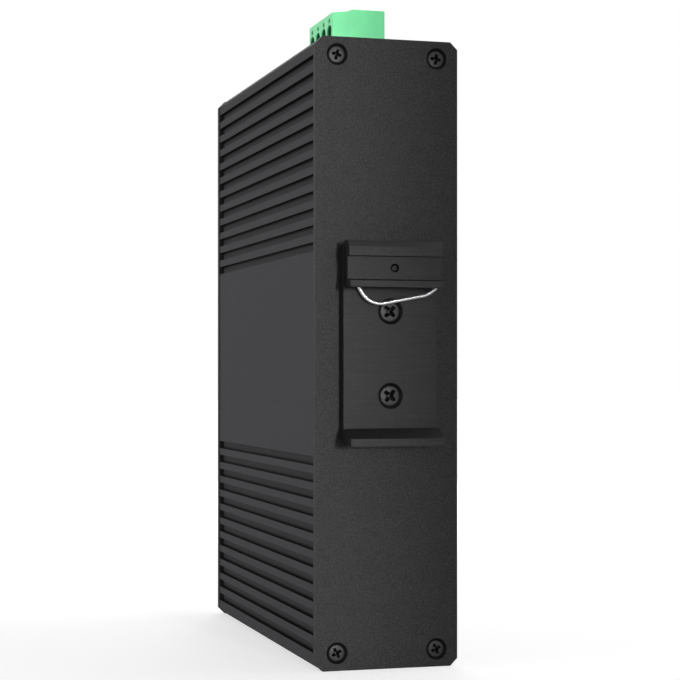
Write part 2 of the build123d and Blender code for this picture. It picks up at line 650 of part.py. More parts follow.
# Main board, upright in the sleeve's guides, drilled for the header's pins
board_height = CAVITY_HEIGHT - 2 * BOARD_EDGE_GAP
board_length = SLEEVE_LENGTH - 2 * BOARD_EDGE_GAP
case_middle_y = (REAR_Y + FRONT_Y) / 2
with BuildPart() as main_board:
    with BuildSketch(beside(BOARD_BACK_X)):
        with Locations((case_middle_y, MIDDLE_Z)):
            Rectangle(board_length, board_height)
        with Locations(*[(y, PIN_LEG_Z) for y in POLE_YS]):
            Circle(PIN_BOARD_HOLE_RADIUS, mode=Mode.SUBTRACT)
    extrude(amount=BOARD_THICKNESS)
main_board.part.label = "main_board"
export_step(main_board.part, "parts/main_board.step")

# Insulating film on the side wall behind the board
with BuildPart() as insulating_film:
    with BuildSketch(beside(-CAVITY_WIDTH / 2 + FILM_GAP)):
        with Locations((case_middle_y, MIDDLE_Z)):
            Rectangle(board_length, CAVITY_HEIGHT - 2 * FILM_MARGIN)
    extrude(amount=FILM_THICKNESS)
insulating_film.part.label = "insulating_film"
export_step(insulating_film.part, "parts/insulating_film.step")

# Socket blocks with their contact wires, lamps and shields
floor_x = BOARD_FACE_X + PORT_FLOOR
lamp_middle_x = BOARD_FACE_X + PORT_LAMP_LIFT + PORT_LAMP_HEIGHT / 2
contact_back_y = PORT_FRONT_Y + PORT_OPENING_DEPTH
for name, block_z in PORT_BLOCKS.items():
    lamp_places = [
        (lamp_middle_x, z + side * PORT_LAMP_SPREAD / 2)
        for z in port_centres(block_z)
        for side in (-1, 1)
    ]

    with BuildPart() as port_block:
        with BuildSketch(across(PORT_FRONT_Y)):
            with Locations((BOARD_FACE_X, block_z)):
                Rectangle(PORT_HEIGHT, BLOCK_LENGTH, align=(Align.MIN, Align.CENTER))
            with Locations(*lamp_places):
                Rectangle(
                    PORT_LAMP_HEIGHT + 2 * PORT_LAMP_GAP,
                    PORT_LAMP_WIDTH + 2 * PORT_LAMP_GAP,
                    mode=Mode.SUBTRACT,
                )
        extrude(amount=-PORT_DEPTH)
        with BuildSketch(across(PORT_FRONT_Y)):
            with Locations(*[(floor_x, z) for z in port_centres(block_z)]):
                Rectangle(
                    PORT_OPENING_HEIGHT, PORT_OPENING_WIDTH, align=(Align.MIN, Align.CENTER)
                )
                Rectangle(
                    PORT_OPENING_HEIGHT + LATCH_HEIGHT,
                    LATCH_WIDTH,
                    align=(Align.MIN, Align.CENTER),
                )
                Rectangle(
                    PORT_OPENING_HEIGHT + LATCH_HEIGHT + LATCH_STEP_HEIGHT,
                    LATCH_STEP_WIDTH,
                    align=(Align.MIN, Align.CENTER),
                )
        extrude(amount=-PORT_OPENING_DEPTH, mode=Mode.SUBTRACT)
    port_block.part.label = f"port_block_{name}"
    export_step(port_block.part, f"parts/port_block_{name}.step")

    with BuildPart() as port_contacts:
        for port_z in port_centres(block_z):
            for i in range(CONTACT_COUNT):
                wire_z = port_z + CONTACT_PITCH * (i - (CONTACT_COUNT - 1) / 2)
                with BuildSketch(level(wire_z - CONTACT_WIRE / 2)):
                    with BuildLine():
                        Polyline(
                            (floor_x + CONTACT_RISE, contact_back_y),
                            (floor_x + CONTACT_RISE, PORT_FRONT_Y + CONTACT_BEND_DEPTH),
                            (floor_x + CONTACT_TIP_GAP, PORT_FRONT_Y + CONTACT_TIP_DEPTH),
                            (
                                floor_x + CONTACT_TIP_GAP + CONTACT_WIRE,
                                PORT_FRONT_Y + CONTACT_TIP_DEPTH,
                            ),
                            (
                                floor_x + CONTACT_RISE + CONTACT_WIRE,
                                PORT_FRONT_Y + CONTACT_BEND_DEPTH,
                            ),
                            (floor_x + CONTACT_RISE + CONTACT_WIRE, contact_back_y),
                            close=True,
                        )
                    make_face()
                extrude(amount=CONTACT_WIRE)
    port_contacts.part.label = f"port_contacts_{name}"
    export_step(port_contacts.part, f"parts/port_contacts_{name}.step")

    with BuildPart() as port_lamps:
        with BuildSketch(across(PORT_FRONT_Y)):
            with Locations(*lamp_places):
                Rectangle(PORT_LAMP_HEIGHT, PORT_LAMP_WIDTH)
        extrude(amount=-PORT_DEPTH)
    port_lamps.part.label = f"port_lamps_{name}"
    export_step(port_lamps.part, f"parts/port_lamps_{name}.step")

    with BuildPart() as port_shield:
        with BuildSketch(across(PORT_FRONT_Y)):
            with Locations((BOARD_FACE_X, block_z)):
                Rectangle(
                    PORT_HEIGHT + SHELL_GROWTH,
                    BLOCK_LENGTH + 2 * SHELL_GROWTH,
                    align=(Align.MIN, Align.CENTER),
                )
        extrude(amount=-(PORT_DEPTH + SHELL_GROWTH))
        with BuildSketch(across(PORT_FRONT_Y)):
            with Locations((BOARD_FACE_X, block_z)):
                Rectangle(
                    PORT_HEIGHT + SHIELD_GAP,
                    BLOCK_LENGTH + 2 * SHIELD_GAP,
                    align=(Align.MIN, Align.CENTER),
                )
        extrude(amount=-(PORT_DEPTH + SHIELD_GAP), mode=Mode.SUBTRACT)
    port_shield.part.label = f"port_shield_{name}"
    export_step(port_shield.part, f"parts/port_shield_{name}.step")

# Status lamps in their holder on the board
lamp_base_y = FRONT_Y - LAMP_PROUD + LAMP_LENGTH
holder_front_y = FRONT_INNER_Y + LAMP_HOLDER_GAP
with BuildPart() as status_lamps:
    with BuildSketch(across(lamp_base_y)):
        with Locations((LAMP_X, LAMP_Z)):
            with GridLocations(0, LAMP_PITCH, 1, LAMP_COUNT):
                Circle(LAMP_RADIUS)
    extrude(amount=LAMP_LENGTH)
    fillet(faces().group_by(Axis.Y)[0].edges(), LAMP_RADIUS * 0.9)
status_lamps.part.label = "status_lamps"
export_step(status_lamps.part, "parts/status_lamps.step")

with BuildPart() as lamp_holder:
    with BuildSketch(across(holder_front_y)):
        with Locations((BOARD_FACE_X, LAMP_Z)):
            Rectangle(
                LAMP_HOLDER_HEIGHT,
                (LAMP_COUNT - 1) * LAMP_PITCH + 2 * LAMP_HOLDER_END,
                align=(Align.MIN, Align.CENTER),
            )
    extrude(amount=-LAMP_HOLDER_DEPTH)
    with BuildSketch(across(holder_front_y)):
        with Locations((LAMP_X, LAMP_Z)):
            with GridLocations(0, LAMP_PITCH, 1, LAMP_COUNT):
                Circle(LAMP_RADIUS + LAMP_BORE_GAP)
    extrude(amount=-(lamp_base_y - holder_front_y), mode=Mode.SUBTRACT)
lamp_holder.part.label = "lamp_holder"
export_step(lamp_holder.part, "parts/lamp_holder.step")

# Terminal header: a box on the board, open at the top, with a pin for each pole
with BuildPart() as terminal_header:
    with BuildSketch(level(HEADER_TOP_Z)):
        with Locations((HEADER_MIDDLE_X, PLUG_MIDDLE_Y)):
            Rectangle(HEADER_WIDTH, HEADER_LENGTH)
    extrude(amount=-HEADER_HEIGHT)
    with BuildSketch(level(HEADER_TOP_Z)):
        with Locations((HEADER_MIDDLE_X, PLUG_MIDDLE_Y)):
            Rectangle(HEADER_CAVITY_WIDTH, HEADER_CAVITY_LENGTH)
    extrude(amount=-HEADER_CAVITY_DEPTH, mode=Mode.SUBTRACT)
    with BuildSketch(level(HEADER_TOP_Z)):
        with Locations(*[(PIN_X, y) for y in POLE_YS]):
            Rectangle(PIN_SIZE + 2 * PIN_HOLE_GAP, PIN_SIZE + 2 * PIN_HOLE_GAP)
    extrude(amount=-HEADER_HEIGHT, mode=Mode.SUBTRACT)
terminal_header.part.label = "terminal_header"
export_step(terminal_header.part, "parts/terminal_header.step")

with BuildPart() as header_pins:
    for pole_y in POLE_YS:
        with BuildSketch(across(pole_y + PIN_SIZE / 2)):
            with BuildLine():
                Polyline(
                    (PIN_X + PIN_SIZE / 2, PIN_TOP_Z),
                    (PIN_X - PIN_SIZE / 2, PIN_TOP_Z),
                    (PIN_X - PIN_SIZE / 2, PIN_LEG_Z + PIN_SIZE / 2),
                    (BOARD_BACK_X - PIN_TAIL, PIN_LEG_Z + PIN_SIZE / 2),
                    (BOARD_BACK_X - PIN_TAIL, PIN_LEG_Z - PIN_SIZE / 2),
                    (PIN_X + PIN_SIZE / 2, PIN_LEG_Z - PIN_SIZE / 2),
                    close=True,
                )
            make_face()
        extrude(amount=PIN_SIZE)
header_pins.part.label = "header_pins"
export_step(header_pins.part, "parts/header_pins.step")

# Terminal plug: the body, hollowed for each pole's contact, cage, screw and wire
shelf_x = PLUG_FACE_X - PLUG_SHELF_WIDTH
step_x = shelf_x - PLUG_STEP_WIDTH
slot_back_x = LEFT_LEAF_X - LEAF_THICKNESS - CONTACT_SLOT_GAP
slot_front_x = BAR_FRONT_X + CONTACT_SLOT_GAP
well_face_z = PLUG_TOP_Z - PLUG_SHELF_LOW
with BuildPart() as terminal_plug:
    with BuildSketch(across(PLUG_REAR_Y)):
        with BuildLine():
            Polyline(
                (PLUG_BACK_X, HEADER_TOP_Z),
                (PLUG_BACK_X, PLUG_TOP_Z),
                (step_x, PLUG_TOP_Z),
                (shelf_x, PLUG_TOP_Z - PLUG_SHELF_HIGH),
                (PLUG_FACE_X, well_face_z),
                (PLUG_FACE_X, HEADER_TOP_Z + PLUG_HEEL_CHAMFER),
                (PLUG_FACE_X - PLUG_HEEL_CHAMFER, HEADER_TOP_Z),
                close=True,
            )
        make_face()
    extrude(amount=PLUG_LENGTH)
    with BuildSketch(level(HEADER_TOP_Z)):
        with Locations((BLOCK_BACK_X + CONTACT_BLOCK_THICKNESS / 2, PLUG_MIDDLE_Y)):
            Rectangle(CONTACT_BLOCK_THICKNESS, PLUG_LENGTH - 2 * CONTACT_BLOCK_INSET)
    extrude(amount=-CONTACT_BLOCK_DEPTH)
    cage_room = CAGE_WIDTH + 2 * CAGE_GAP
    entry_x = (JAW_X + BAR_BACK_X) / 2
    for pole_y in POLE_YS:
        with BuildSketch(level(CAGE_ROOM_LOW_Z)):
            with Locations((CAGE_ROOM_BACK_X, pole_y)):
                Rectangle(
                    CAGE_ROOM_FRONT_X - CAGE_ROOM_BACK_X,
                    cage_room,
                    align=(Align.MIN, Align.CENTER),
                )
        extrude(amount=CAGE_ROOM_TOP_Z - CAGE_ROOM_LOW_Z, mode=Mode.SUBTRACT)
        with BuildSketch(level(CONTACT_BLOCK_LOW_Z)):
            with Locations((slot_back_x, pole_y)):
                Rectangle(
                    slot_front_x - slot_back_x,
                    BAR_WIDTH + 2 * CONTACT_SLOT_GAP,
                    align=(Align.MIN, Align.CENTER),
                )
        extrude(amount=CAGE_ROOM_LOW_Z - CONTACT_BLOCK_LOW_Z, mode=Mode.SUBTRACT)
        with BuildSketch(level(PLUG_TOP_Z)):
            with Locations((entry_x, pole_y)):
                Rectangle(
                    BAR_BACK_X - JAW_X + 2 * ENTRY_CHAMFER, ENTRY_WIDTH + 2 * ENTRY_CHAMFER
                )
        with BuildSketch(level(PLUG_TOP_Z - ENTRY_CHAMFER)):
            with Locations((entry_x, pole_y)):
                Rectangle(BAR_BACK_X - JAW_X, ENTRY_WIDTH)
        loft(mode=Mode.SUBTRACT)
        with BuildSketch(level(CAGE_ROOM_TOP_Z)):
            with Locations((entry_x, pole_y)):
                Rectangle(BAR_BACK_X - JAW_X, ENTRY_WIDTH)
        extrude(amount=PLUG_TOP_Z - CAGE_ROOM_TOP_Z, mode=Mode.SUBTRACT)
        with BuildSketch(beside(CAGE_ROOM_FRONT_X)):
            with Locations((pole_y, SCREW_AXIS_Z)):
                Circle(CLAMP_SHANK_RADIUS + SHANK_HOLE_GAP)
        extrude(amount=SHOULDER_THICKNESS, mode=Mode.SUBTRACT)
        with BuildSketch(beside(HEAD_SEAT_X)):
            with Locations((pole_y, SCREW_AXIS_Z)):
                Circle(WELL_RADIUS)
        extrude(amount=PLUG_FACE_X - HEAD_SEAT_X, mode=Mode.SUBTRACT)
        with BuildSketch(beside(PLUG_FACE_X)):
            with Locations((pole_y, well_face_z - NOTCH_BELOW_SHELF - NOTCH_HEIGHT / 2)):
                Rectangle(NOTCH_WIDTH, NOTCH_HEIGHT)
        extrude(amount=-NOTCH_DEPTH, mode=Mode.SUBTRACT)
terminal_plug.part.label = "terminal_plug"
export_step(terminal_plug.part, "parts/terminal_plug.step")

# Contacts: a fork that grips the pin, with a bar up through the clamp cage
with BuildPart() as plug_contacts:
    for pole_y in POLE_YS:
        with BuildSketch(across(pole_y + BAR_WIDTH / 2)):
            with BuildLine():
                Polyline(
                    (LEFT_LEAF_X - LEAF_THICKNESS, LEAF_LOW_Z),
                    (LEFT_LEAF_X, LEAF_LOW_Z),
                    (LEFT_LEAF_X, BRIDGE_LOW_Z),
                    (RIGHT_LEAF_X, BRIDGE_LOW_Z),
                    (RIGHT_LEAF_X, LEAF_LOW_Z),
                    (RIGHT_LEAF_X + LEAF_THICKNESS, LEAF_LOW_Z),
                    (RIGHT_LEAF_X + LEAF_THICKNESS, BRIDGE_LOW_Z),
                    (BAR_FRONT_X, BRIDGE_LOW_Z),
                    (BAR_FRONT_X, CAGE_ROOM_TOP_Z - BAR_TOP_GAP),
                    (BAR_BACK_X, CAGE_ROOM_TOP_Z - BAR_TOP_GAP),
                    (BAR_BACK_X, BRIDGE_TOP_Z),
                    (LEFT_LEAF_X - LEAF_THICKNESS, BRIDGE_TOP_Z),
                    close=True,
                )
            make_face()
        extrude(amount=BAR_WIDTH)
plug_contacts.part.label = "plug_contacts"
export_step(plug_contacts.part, "parts/plug_contacts.step")

# Clamp screws, and the cages that they pull up against the contact bars
with BuildPart() as clamp_screw_blank:
    with BuildSketch(Plane.XY):
        Circle(CLAMP_HEAD_RADIUS)
    extrude(amount=-CLAMP_HEAD_HEIGHT)
    with BuildSketch(Plane.XY):
        Circle(CLAMP_SHANK_RADIUS)
    extrude(amount=-(HEAD_TOP_X - SCREW_TIP_X))
    with BuildSketch(Plane.XY):
        Rectangle(2 * CLAMP_HEAD_RADIUS, CLAMP_SLOT_WIDTH)
    extrude(amount=-CLAMP_SLOT_DEPTH, mode=Mode.SUBTRACT)

for number, pole_y in enumerate(POLE_YS, start=1):
    with BuildPart() as clamp_screw:
        with Locations(
            Plane(origin=(HEAD_TOP_X, pole_y, SCREW_AXIS_Z), x_dir=(0, 1, 0), z_dir=(1, 0, 0))
        ):
            add(clamp_screw_blank.part)
    clamp_screw.part.label = f"clamp_screw_{number}"
    export_step(clamp_screw.part, f"parts/clamp_screw_{number}.step")

    with BuildPart() as clamp_cage:
        with BuildSketch(level(SCREW_AXIS_Z - CAGE_HEIGHT / 2)):
            with Locations((CAGE_BACK_X, pole_y)):
                Rectangle(
                    CAGE_FRONT_X - CAGE_BACK_X, CAGE_WIDTH, align=(Align.MIN, Align.CENTER)
                )
            with Locations((JAW_X, pole_y)):
                Rectangle(
                    CAGE_NUT_X - JAW_X,
                    CAGE_WIDTH - 2 * CAGE_SIDE_WALL,
                    align=(Align.MIN, Align.CENTER),
                    mode=Mode.SUBTRACT,
                )
        extrude(amount=CAGE_HEIGHT)
        with BuildSketch(beside(CAGE_NUT_X)):
            with Locations((pole_y, SCREW_AXIS_Z)):
                Circle(CLAMP_SHANK_RADIUS + THREAD_CLEARANCE)
        extrude(amount=CAGE_NUT_WALL, mode=Mode.SUBTRACT)
    clamp_cage.part.label = f"clamp_cage_{number}"
    export_step(clamp_cage.part, f"parts/clamp_cage_{number}.step")

# Magnetics, one behind each socket
magnetics_front_y = PORT_FRONT_Y + PORT_DEPTH + SHELL_GROWTH + MAGNETICS_GAP
magnetics_y = magnetics_front_y + MAGNETICS_SIZE[0] / 2
port_heights = [z for block_z in PORT_BLOCKS.values() for z in port_centres(block_z)]
with BuildPart() as magnetics:
    with BuildSketch(beside(BOARD_FACE_X)):
        with Locations(*[(magnetics_y, z) for z in port_heights]):
            Rectangle(MAGNETICS_SIZE[0], MAGNETICS_SIZE[1])
    extrude(amount=MAGNETICS_SIZE[2])
magnetics.part.label = "magnetics"
export_step(magnetics.part, "parts/magnetics.step")

# Switch chip, heat pad and finned heat sink
chip_y = magnetics_front_y + MAGNETICS_SIZE[0] + SINK_FROM_MAGNETICS + SINK_SIZE[0] / 2
chip_z = CASE_TOP_Z - CHIP_BELOW_TOP
pad_x = BOARD_FACE_X + CHIP_SIZE[2]
sink_x = pad_x + PAD_THICKNESS
with BuildPart() as switch_chip:
    with BuildSketch(beside(BOARD_FACE_X)):
        with Locations((chip_y, chip_z)):
            Rectangle(CHIP_SIZE[0], CHIP_SIZE[1])
    extrude(amount=CHIP_SIZE[2])
    chamfer(faces().sort_by(Axis.X)[-1].edges(), CHIP_SIZE[2] / 5)
switch_chip.part.label = "switch_chip"
export_step(switch_chip.part, "parts/switch_chip.step")

with BuildPart() as heat_pad:
    with BuildSketch(beside(pad_x)):
        with Locations((chip_y, chip_z)):
            Rectangle(CHIP_SIZE[0] - 2 * PAD_MARGIN, CHIP_SIZE[1] - 2 * PAD_MARGIN)
    extrude(amount=PAD_THICKNESS)
heat_pad.part.label = "heat_pad"
export_step(heat_pad.part, "parts/heat_pad.step")

with BuildPart() as heat_sink:
    with BuildSketch(beside(sink_x)):
        with Locations((chip_y, chip_z)):
            Rectangle(SINK_SIZE[0], SINK_SIZE[1])
    extrude(amount=SINK_SIZE[2])
    fin_pitch = (SINK_SIZE[1] - SINK_FIN_WIDTH) / (SINK_FIN_COUNT - 1)
    with BuildSketch(beside(sink_x + SINK_SIZE[2])):
        with Locations((chip_y, chip_z)):
            with GridLocations(0, fin_pitch, 1, SINK_FIN_COUNT):
                Rectangle(SINK_SIZE[0], SINK_FIN_WIDTH)
    extrude(amount=SINK_FIN_HEIGHT)
heat_sink.part.label = "heat_sink"
export_step(heat_sink.part, "parts/heat_sink.step")

# Power parts: shielded inductors, capacitors and the fuse
with BuildPart() as inductors:
    with BuildSketch(beside(BOARD_FACE_X)):
        with Locations((REAR_Y - INDUCTOR_FROM_REAR, CASE_TOP_Z - INDUCTOR_BELOW_TOP)):
            with GridLocations(INDUCTOR_PITCH, 0, 2, 1):
                Rectangle(INDUCTOR_SIZE[0], INDUCTOR_SIZE[1])
        chamfer(vertices(), INDUCTOR_SIZE[0] / 6)
    extrude(amount=INDUCTOR_SIZE[2])
    with BuildSketch(beside(BOARD_FACE_X + INDUCTOR_SIZE[2])):
        with Locations((REAR_Y - INDUCTOR_FROM_REAR, CASE_TOP_Z - INDUCTOR_BELOW_TOP)):
            with GridLocations(INDUCTOR_PITCH, 0, 2, 1):
                Circle(INDUCTOR_CORE_RADIUS)
    extrude(amount=-INDUCTOR_SIZE[2] / 8, mode=Mode.SUBTRACT)
inductors.part.label = "inductors"
export_step(inductors.part, "parts/inductors.step")

with BuildPart() as capacitors:
    with BuildSketch(beside(BOARD_FACE_X)):
        with Locations((REAR_Y - CAPACITOR_FROM_REAR, CASE_TOP_Z - CAPACITOR_BELOW_TOP)):
            with GridLocations(CAPACITOR_PITCH, 0, CAPACITOR_COUNT, 1):
                Circle(CAPACITOR_RADIUS)
    extrude(amount=CAPACITOR_HEIGHT)
    chamfer(faces().group_by(Axis.X)[-1].edges(), CAPACITOR_GROOVE)
capacitors.part.label = "capacitors"
export_step(capacitors.part, "parts/capacitors.step")

with BuildPart() as fuse:
    with BuildSketch(beside(BOARD_FACE_X)):
        with Locations((REAR_Y - FUSE_FROM_REAR, CASE_TOP_Z - FUSE_BELOW_TOP)):
            Circle(FUSE_RADIUS)
    extrude(amount=FUSE_HEIGHT)
    chamfer(faces().sort_by(Axis.X)[-1].edges(), FUSE_RADIUS / 8)
fuse.part.label = "fuse"
export_step(fuse.part, "parts/fuse.step")

with BuildPart() as crystal:
    with BuildSketch(beside(BOARD_FACE_X)):
        with Locations((chip_y, chip_z - CRYSTAL_FROM_CHIP)):
            SlotOverall(CRYSTAL_LENGTH, CRYSTAL_WIDTH)
    extrude(amount=CRYSTAL_HEIGHT)
    chamfer(faces().sort_by(Axis.X)[-1].edges(), CRYSTAL_HEIGHT / 10)
crystal.part.label = "crystal"
export_step(crystal.part, "parts/crystal.step")
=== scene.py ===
"""Slim Ethernet switch for a mounting rail, dressed and lit as in its photograph.

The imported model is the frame. Each piece here dresses one of its nodes or stands for
one, in the same place and in metres. Sizes in the classes are in millimetres, as on a
drawing, and MM turns them into metres.
"""

import json
import logging
import math
from dataclasses import dataclass, field
from enum import Enum

import bmesh
import bpy
import numpy as np
from mathutils import Euler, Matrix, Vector

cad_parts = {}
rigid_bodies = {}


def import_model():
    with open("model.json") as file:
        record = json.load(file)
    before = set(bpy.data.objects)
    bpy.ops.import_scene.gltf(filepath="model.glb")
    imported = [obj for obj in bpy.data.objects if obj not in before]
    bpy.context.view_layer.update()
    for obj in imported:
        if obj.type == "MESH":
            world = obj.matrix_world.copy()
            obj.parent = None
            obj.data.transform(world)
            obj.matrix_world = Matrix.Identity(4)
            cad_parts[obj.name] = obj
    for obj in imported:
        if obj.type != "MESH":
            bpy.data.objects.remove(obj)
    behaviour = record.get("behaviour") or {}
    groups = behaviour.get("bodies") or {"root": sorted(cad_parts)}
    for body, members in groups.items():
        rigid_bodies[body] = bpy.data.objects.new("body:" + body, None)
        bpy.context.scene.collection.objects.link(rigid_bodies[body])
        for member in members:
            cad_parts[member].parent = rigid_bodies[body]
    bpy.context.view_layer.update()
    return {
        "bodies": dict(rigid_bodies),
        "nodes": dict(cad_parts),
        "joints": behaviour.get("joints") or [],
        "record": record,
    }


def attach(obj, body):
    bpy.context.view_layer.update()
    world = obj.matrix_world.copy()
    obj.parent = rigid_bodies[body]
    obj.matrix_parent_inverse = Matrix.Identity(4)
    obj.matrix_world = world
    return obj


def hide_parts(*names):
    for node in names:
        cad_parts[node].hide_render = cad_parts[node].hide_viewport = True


MM = 0.001
MERGE_DISTANCE = 1e-7
CAD_MERGE_DISTANCE = 1e-6
FLAT_ANGLE = math.radians(0.4)
EDGE_ANGLE = math.radians(30.0)
SHARP_ANGLE = math.radians(40.0)
BEVEL_STEPS = 2
FLAT_FACE_WEIGHT = 80
WHITE = (1.0, 1.0, 1.0, 1.0)
LOG = logging.getLogger("rail_switch")

Array = np.ndarray
Colour = tuple[float, float, float]
Point = tuple[float, float, float]
# A span is a start and an end. A fade is what Tree.ranged takes: low, high, start, end.
Span = tuple[float, float]
Fade = tuple[float, float, float, float]
Socket = bpy.types.NodeSocket
Value = Socket | float | tuple[float, ...]


def linked(name: str, data: bpy.types.ID) -> bpy.types.Object:
    """Makes an object of this data and puts it into the scene."""
    made = bpy.data.objects.new(name, data)
    bpy.context.scene.collection.objects.link(made)
    return made


def ring(columns: int) -> Array:
    """Directions round a full turn in radians, one for each column."""
    return np.linspace(0, 2 * math.pi, columns, endpoint=False)


class Lines(Enum):
    """Which way the lines of drawn, rolled or extruded stock run."""

    NONE = (1.0, 1.0, 1.0)
    ALONG_X = (0.02, 1.0, 1.0)
    ALONG_Y = (1.0, 0.02, 1.0)
    ALONG_Z = (1.0, 1.0, 0.02)


class Tree:
    """A node tree, with short ways to fill it."""

    def __init__(self, tree: bpy.types.NodeTree) -> None:
        """Empties the tree.

        Args:
            tree: node tree of a material or of the world.
        """
        self.tree = tree
        self.tree.nodes.clear()

    def node(self, kind: str) -> bpy.types.Node:
        """Adds a node of this kind."""
        return self.tree.nodes.new(kind)

    def feed(self, value: Value, end: Socket) -> None:
        """Links a socket to an input, or sets the input to a fixed value."""
        if isinstance(value, Socket):
            self.tree.links.new(value, end)
        else:
            end.default_value = value

    def fill(self, node: bpy.types.Node, inputs: dict[str, Value]) -> bpy.types.Node:
        """Feeds a node's named inputs and gives the node back."""
        for name, value in inputs.items():
            self.feed(value, node.inputs[name])
        return node

    def step(self, kind: str, operation: str, values: tuple[Value, ...]) -> bpy.types.Node:
        """Adds a step of arithmetic.

        Args:
            kind: kind of its node.
            operation: name of the operation.
            values: its inputs in order, as sockets or fixed values.

        Returns:
            The node.
        """
        step = self.node(kind)
        step.operation = operation
        for value, end in zip(values, step.inputs):
            self.feed(value, end)
        return step

    def maths(self, operation: str, *values: Value) -> Socket:
        """Arithmetic on numbers."""
        return self.step("ShaderNodeMath", operation, values).outputs[0]

    def product(self, first: Value, second: Value) -> Socket:
        """Multiplies two values."""
        return self.maths("MULTIPLY", first, second)

    def vector(self, operation: str, *values: Value) -> Socket:
        """Arithmetic on vectors."""
        return self.step("ShaderNodeVectorMath", operation, values).outputs["Vector"]

    def length(self, vector: Socket) -> Socket:
        """Length of a vector."""
        return self.step("ShaderNodeVectorMath", "LENGTH", (vector,)).outputs["Value"]

    def split(self, vector: Socket) -> list[Socket]:
        """Splits a vector into its three parts."""
        return list(self.fill(self.node("ShaderNodeSeparateXYZ"), {"Vector": vector}).outputs)

    def ranged(
        self, value: Socket, low: float, high: float, start: float = 0.3, end: float = 0.7
    ) -> Socket:
        """Maps a pattern from its usual spread to a range.

        Args:
            value: the pattern.
            low: result where the pattern is at start.
            high: result where the pattern is at end.
            start: low end of the pattern's spread.
            end: high end of the pattern's spread.

        Returns:
            The mapped value.
        """
        inputs = {"Value": value, "From Min": start, "From Max": end, "To Min": low, "To Max": high}
        return self.fill(self.node("ShaderNodeMapRange"), inputs).outputs["Result"]

    def seen(self) -> Socket:
        """1 for rays from the camera and for reflections, 0 for light that falls on things."""
        path = self.node("ShaderNodeLightPath").outputs
        return self.maths("MAXIMUM", path["Is Camera Ray"], path["Is Glossy Ray"])


class Sheet(Tree):
    """The node tree of one material, with the patterns measured in millimetres."""

    def __init__(self, name: str) -> None:
        """Starts an empty material with its shader, output and place in millimetres.

        Args:
            name: name of the material.
        """
        self.material = bpy.data.materials.new(name)
        self.material.use_nodes = True
        super().__init__(self.material.node_tree)
        self.shader = self.node("ShaderNodeBsdfPrincipled")
        output = self.node("ShaderNodeOutputMaterial")
        self.feed(self.shader.outputs["BSDF"], output.inputs["Surface"])
        coordinates = self.node("ShaderNodeTexCoord")
        self.place = self.scaled(coordinates.outputs["Object"], (1 / MM, 1 / MM, 1 / MM))

    def scaled(self, vector: Socket, scale: Point) -> Socket:
        """Stretches a coordinate by a factor along each axis."""
        inputs = {"Scale": scale, "Vector": vector}
        return self.fill(self.node("ShaderNodeMapping"), inputs).outputs["Vector"]

    def noise(self, size: float, detail: float = 2.0, place: Socket | None = None) -> Socket:
        """Adds a cloudy pattern.

        Args:
            size: size of its features in millimetres.
            detail: how many finer layers it has.
            place: coordinate to read, the object's own if none is given.

        Returns:
            The pattern, about 0 to 1 with its middle at 0.5.
        """
        inputs = {"Scale": 1 / size, "Detail": detail, "Vector": place or self.place}
        return self.fill(self.node("ShaderNodeTexNoise"), inputs).outputs["Fac"]

    def facing(self) -> Socket:
        """Direction that the surface faces, without its relief."""
        return self.node("ShaderNodeNewGeometry").outputs["True Normal"]

    def shaded(self, colour: Value, factor: Socket) -> Socket:
        """Makes a colour lighter or darker.

        Args:
            colour: the colour, scene linear.
            factor: pattern to multiply it by.

        Returns:
            The varied colour.
        """
        scale = self.step("ShaderNodeVectorMath", "SCALE", (colour,))
        return self.fill(scale, {"Scale": factor}).outputs["Vector"]

    def mixed(self, factor: Socket, first: Socket, second: Value) -> Socket:
        """Fades a colour into a second one.

        Args:
            factor: 0 for the first, 1 for the second.
            first: first colour.
            second: second colour, as a socket or a fixed colour.

        Returns:
            The mixed colour.
        """
        mix = self.node("ShaderNodeMix")
        mix.data_type = "RGBA"
        end = second if isinstance(second, Socket) else (*second, 1.0)
        return self.fill(mix, {"Factor": factor, "A": first, "B": end}).outputs["Result"]

    def bumped(self, height: Socket, depth: float, below: Socket | None = None) -> Socket:
        """Adds relief.

        Args:
            height: the pattern of the relief.
            depth: its depth in millimetres.
            below: normal of the relief that this one lies on, if any.

        Returns:
            The normal with the relief.
        """
        inputs = {"Strength": 1.0, "Distance": depth * MM, "Height": height}
        if below is not None:
            inputs["Normal"] = below
        return self.fill(self.node("ShaderNodeBump"), inputs).outputs["Normal"]


